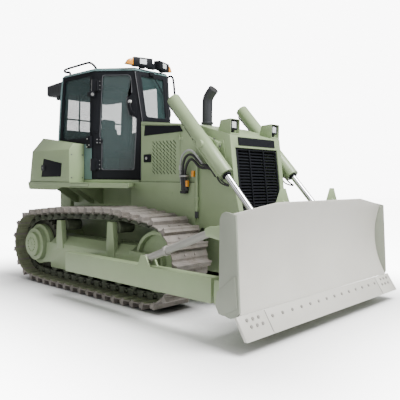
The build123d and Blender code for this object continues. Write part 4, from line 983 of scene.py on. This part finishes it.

# inside: a black headlining, painted shade for the shadowed inside of the cab under the roof, a
# trim post at the left rear corner and the rear window's bars
given(sheet("shade_headlining", [(x, y, 3.232) for x, y in (
    (-1.96, -0.68), (-1.115, -0.685), (-0.605, -0.305), (-0.605, 0.305), (-1.115, 0.685),
    (-1.96, 0.68))], (0, 0, 0.008), 0), lamp_black)
for name, corners in (
        ("rear_trim", [(-2.02, 0.49, 1.64), (-2.02, 0.7, 1.64), (-1.945, 0.68, 3.22),
                       (-1.945, 0.49, 3.22)]),
        ("rear_sill", [(-2.01, -0.7, 2.26), (-2.01, 0.7, 2.26), (-2.002, 0.7, 2.42),
                       (-2.002, -0.7, 2.42)]),
        ("rear_head", [(-1.972, -0.68, 3.02), (-1.972, 0.68, 3.02), (-1.96, 0.68, 3.215),
                       (-1.96, -0.68, 3.215)])):
    given(sheet(name, corners, (0.014, 0, 0), 0.003), lamp_black)
given(joined("window_bars", [
    rod("upright_bar", (-1.985, -0.38, 2.4), (-1.962, -0.38, 3.05), 0.014, 10, 0),
    rod("cross_bar", (-1.975, -0.68, 2.6), (-1.975, 0.5, 2.6), 0.012, 10, 0)]),
    lamp_black)

# the driver's seat: a cushion on a box, a tapering back and a headrest
backrest = block("backrest", (-1.73, -0.225, 2.03), (-1.58, 0.225, 2.48), 0)
opened(backrest)
picked(backrest, lambda face: face.normal.z > 0.9)
bpy.ops.transform.resize(value=(0.7, 0.62, 1))
bpy.ops.transform.translate(value=(-0.02, 0, 0))
bpy.ops.mesh.select_all(action="SELECT")
broken_edges(0.035, 3)
closed()
given(joined("driver_seat", [
    block("cushion", (-1.56, -0.25, 1.96), (-1.08, 0.25, 2.08), 0.035, 3), backrest,
    block("seat_box", (-1.48, -0.18, 1.612), (-1.16, 0.18, 1.97), 0.012),
    block("headrest", (-1.728, -0.125, 2.47), (-1.64, 0.125, 2.618), 0.03, 3)]),
    vinyl, "seat")

# teal sheet at the pillar's foot and along the rear corners, and a lamp under the air box
given_pair(side_sheet("pillar_foot", [(-1.275, 1.615), (-1.085, 1.615), (-1.09, 2.15),
                                      (-1.275, 2.15)], -0.762, -0.757), teal_paint)
given_pair(bent_tube("rear_corner", [
    (-2.052, -0.745, 1.62), (-2.035, -0.735, 2.1), (-2.01, -0.718, 2.7),
    (-1.985, -0.704, 3.13), (-1.96, -0.69, 3.245)], 0.02, 3), teal_paint)
given(block("air_box_lamps", (-2.33, -0.605, 2.945), (-2.25, -0.515, 3.016), 0.008), lamp_black)

# ---- Roof lights and rails -------------------------------------------------------------------
# Two black light boxes on the roof's front with amber lamps at their outer ends, and bent
# steel rails along the sides.
amber = speckled("amber_lens", (0.72, 0.24, 0.015), (0.86, 0.36, 0.03), 60.0, 1.0, 0.2,
                 Coat_Weight=0.5, Coat_Roughness=0.08)
dressed("roof_lights", "light_boxes", black_paint, 0.006, slot="lamp_black")
dressed("beacons", "amber_lamps", amber, 0.008)
unit_turn = radians(19)
lens_facing = Vector((cos(unit_turn), sin(unit_turn), 0))
lens_across = Vector((-sin(unit_turn), cos(unit_turn), 0)) * 0.054
lens_up = Vector((0, 0, 0.037))
lens_middle = Vector((-0.585, 0.2, 3.39)) + lens_facing * 0.053
left_lens = sheet("roof_lens", [
    lens_middle + lens_across * across + lens_up * up for across, up in
    ((-1, -1), (1, -1), (1, 1), (-1, 1))], lens_facing * 0.008, 0.002)
given(joined("roof_lenses", [left_lens, mirrored(left_lens, "roof_lens_right")]), lens_glass)
given(block("light_bridge", (-0.64, -0.07, 3.318), (-0.56, 0.07, 3.405), 0.006),
      black_paint, slot="lamp_black")
given(block("middle_amber", (-0.7, -0.055, 3.345), (-0.642, 0.07, 3.449), 0.01, 2),
      amber)
# bent rails along the roof's sides, and a hand loop on the left front corner
given_pair(bent_tube("side_rail", along_side(-0.655, [
    (-1.121, 3.3), (-1.15, 3.335), (-1.225, 3.388), (-1.29, 3.412), (-1.34, 3.417),
    (-1.64, 3.41), (-1.93, 3.403), (-1.985, 3.392), (-1.99, 3.368), (-1.95, 3.352),
    (-1.845, 3.34), (-1.828, 3.325), (-1.826, 3.298)]), 0.018), black_paint, "roof_rails")
given(bent_tube("hand_loop", [
    (-0.85, 0.5, 3.255), (-0.84, 0.55, 3.29), (-0.8, 0.56, 3.316),
    (-0.75, 0.56, 3.316), (-0.705, 0.56, 3.29), (-0.685, 0.56, 3.22),
    (-0.665, 0.56, 3.08), (-0.646, 0.555, 2.94), (-0.66, 0.48, 2.9)], 0.017), black_paint)

# ---- Blade -----------------------------------------------------------------------------------
# A rolled moldboard skin on box sections, sprayed light grey all over, with bolted cutting
# edges and grey-green end plates.
blade_paint = paint("blade_paint", (0.66, 0.645, 0.585), 0.92, 0.38, 0.06, 0.2)
bolt_grey = paint("bolt_grey", (0.3, 0.29, 0.265), 0.9, 0.4, 0.05, 0.1, "blade_paint")
end_paint = paint("end_plate_paint", (0.3, 0.325, 0.262), 0.9, 0.4, 0.1)
blade = "blade_assembly"
dressed("moldboard", "blade_skin", blade_paint, body=blade)
dressed("blade_frame", "blade_boxes", body_paint, body=blade)
dressed("blade_ends", "blade_sides", end_paint, body=blade)
dressed("cutting_edge", "centre_edge", blade_paint, 0.003, body=blade)
dressed("end_bits", "corner_edges", blade_paint, 0.003, body=blade)

# plough bolts in the sloped edges, with a dark joint between the middle edge and the end bits
edge_facing = Vector((0.844, 0.0, 0.536))
bolt_size = {"radius": 0.017, "height": 0.009, "sides": 12, "facing": edge_facing}


def edge_spot(y, z):
    """A place on the sloped face of the cutting edges."""
    return (2.5184 + (0.3 - z) * 0.635, y, z)


given(bolts("edge_bolts", [(2.5342, -1.15 + 0.1769 * number, 0.275) for number in range(14)],
            **bolt_size), bolt_grey, body=blade)
given_pair(bolts("corner_bolts", [edge_spot(-y, z) for y, z in (
    (1.365, 0.3), (1.455, 0.3), (1.545, 0.3), (1.34, 0.24), (1.43, 0.24),
    (1.52, 0.24))], **bolt_size), bolt_grey, body=blade)
given_pair(sheet("edge_joint", [edge_spot(*spot) for spot in (
    (-1.2375, 0.145), (-1.2375, 0.34), (-1.2325, 0.34), (-1.2325, 0.145))],
    edge_facing * 0.0015, 0), lamp_black, body=blade)

# ---- Push arms and braces --------------------------------------------------------------------
# Box-section arms welded of plate along the outside of each track, pinned at their rear ends,
# and a screw brace of turned tube from each up to the blade's back.
strut_paint = paint("strut_paint", (0.3, 0.295, 0.268), 0.85, 0.38, 0.15, slot="strut_steel")
dressed("push_arms", "arms", body_paint, 0.008, 3, body=blade)
dressed("braces", "tilt_braces", strut_paint, 0.003, body=blade)

# ---- Lift cylinders --------------------------------------------------------------------------
# Each is a green barrel hung by trunnions on the nose's sides, with a hard chrome rod. A black
# gland screws into its mouth, and a steel drain line is clipped along its underside.
rubber = speckled("hose_rubber", (0.014, 0.014, 0.015), (0.03, 0.03, 0.031), 200.0, 2.0, 0.55,
                  (0.3, 0.0008))
chrome = speckled("chrome_rod", (0.72, 0.73, 0.74), (0.84, 0.85, 0.86), 20.0, 2.0, 0.08,
                  metallic=1.0)
for side in ("right", "left"):
    dressed("lift_barrel_" + side, "barrel_" + side, body_paint, 0.003,
            body="lift_barrel_" + side)
    dressed("lift_rod_" + side, "rod_" + side, chrome, 0.002, body="lift_rod_" + side)
right_barrel = "lift_barrel_right"
trunnion = Vector((1.19, -0.7, 2.052))
run = (Vector((2.222, -0.7, 0.945)) - trunnion).normalized()
underside = Vector((run.z, 0, -run.x))


def barrel_spot(distance, below=0.0):
    """A place along the right barrel's line, and so far below it."""
    return trunnion + run * distance + underside * below


given_pair(rod("gland", barrel_spot(0.495), barrel_spot(0.532), 0.056, 24, 0.005),
           black_paint, body=right_barrel)
given_pair(bent_tube("drain_line", [barrel_spot(*spot) for spot in (
    (-0.8, 0.08), (-0.795, 0.112), (-0.74, 0.104), (-0.5, 0.099), (-0.3, 0.099),
    (-0.14, 0.104), (-0.11, 0.08))], 0.011), rubber, body=right_barrel)
given_pair(joined("drain_clips", [
    rod("clip", barrel_spot(place, 0.082), barrel_spot(place, 0.112), 0.017, 12, 0.002)
    for place in (-0.64, -0.42, -0.22)]), body_paint, body=right_barrel)
given_pair(joined("feed_hoses", [
    bent_tube("feed_bundle", [(1.14, -0.628, 1.8), (1.185, -0.645, 1.772),
                              (1.24, -0.665, 1.765), (1.29, -0.68, 1.755),
                              (1.37, -0.69, 1.67)], 0.026),
    bent_tube("feed_upper", [(1.36, -0.7, 1.7), (1.42, -0.7, 1.65),
                             (1.5, -0.7, 1.58), (1.56, -0.69, 1.56)], 0.01),
    bent_tube("feed_lower", [(1.34, -0.68, 1.7), (1.4, -0.68, 1.6),
                             (1.48, -0.68, 1.56), (1.56, -0.69, 1.55)], 0.01)]),
    rubber, body=right_barrel)
dressed("cylinder_brackets", "trunnion_bearings", body_paint)
given_pair(bolts("bearing_bolts", along_side(-0.6005, [
    (1.105, 2.12), (1.253, 2.125), (1.345, 2.03), (1.32, 1.935)]), 0.015, 0.01), dull_metal)

# ---- Hoses and guard tubes -------------------------------------------------------------------
# Rubber hoses arch from a sleeve on the skirt to each cylinder's bearing, with a woven line
# beside them and crimped steel ends. Steel guard tubes with collars stand ahead of the sleeve.
given_pair(joined("hose_line", [
    bent_tube("inner_hose", along_side(-0.6, [
        (0.7, 1.48), (0.7, 1.68), (0.705, 1.8), (0.74, 1.905), (0.82, 1.95),
        (0.9, 1.93)]) + [(0.965, -0.605, 1.87), (1.03, -0.612, 1.825),
                         (1.1, -0.622, 1.8), (1.165, -0.64, 1.785)], 0.017),
    bent_tube("outer_hose", along_side(-0.603, [
        (0.745, 1.48), (0.745, 1.64), (0.755, 1.76), (0.8, 1.85), (0.86, 1.89),
        (0.93, 1.85)]) + [(0.985, -0.608, 1.795), (1.06, -0.616, 1.77),
                          (1.12, -0.625, 1.765), (1.175, -0.64, 1.768)], 0.017)]),
    rubber, "lift_hoses")
sleeved = paint("woven_sleeve", (0.42, 0.43, 0.42), 0.7, 0.5, 0.0, 0.0, "strut_steel")
given_pair(bent_tube("woven_line", along_side(-0.612, [
    (0.69, 1.56), (0.681, 1.667), (0.671, 1.783), (0.685, 1.89), (0.719, 1.955),
    (0.8, 2.006), (0.885, 1.99), (0.943, 1.938), (1.022, 1.869)]) + [
    (1.1, -0.615, 1.79), (1.15, -0.62, 1.76)], 0.013), sleeved)
given_pair(joined("hose_sleeve", [
    bent_tube("inner_sleeve", along_side(-0.6, [
        (0.7, 1.69), (0.702, 1.64), (0.712, 1.56), (0.735, 1.476)]), 0.03),
    bent_tube("outer_sleeve", along_side(-0.603, [
        (0.752, 1.69), (0.754, 1.64), (0.764, 1.56), (0.785, 1.476)]), 0.026)]), rubber)
given_pair(block("hose_clamp", (0.668, -0.634, 1.655), (0.79, -0.566, 1.676), 0.004),
           bright_metal)
given_pair(joined("hose_ends", [
    rod("lower_end", (0.6735, -0.612, 1.745), (0.6725, -0.612, 1.805), 0.019, 6, 0.003),
    rod("upper_end", (1.06, -0.613, 1.83), (1.105, -0.614, 1.79), 0.02, 6, 0.003)]),
    bright_metal)
given_pair(joined("amber_caps", [
    block("upper_cap", (0.838, -0.58, 1.656), (0.878, -0.5255, 1.736), 0.006, 2),
    block("lower_cap", (0.784, -0.63, 1.529), (0.818, -0.59, 1.609), 0.006, 2)]), amber)
dressed("hose_blocks", "hose_sleeves", rubber, slot="black_paint")
dressed("side_pipes", "guard_tubes", body_paint, 0.002)


def tube_ring(name, low, high, radius, bevel):
    """A round piece on the right guard tube's line between two heights."""
    return rod(name, (0.911, -0.5482, low), (0.911, -0.5482, high), radius, 20, bevel)


given_pair(joined("tube_collars", [tube_ring("upper_collar", 1.345, 1.395, 0.03, 0.004),
                                   tube_ring("lower_collar", 1.225, 1.262, 0.027, 0.003)]),
           body_paint)
given_pair(tube_ring("tube_end", 1.13, 1.214, 0.0235, 0.002), lamp_black)
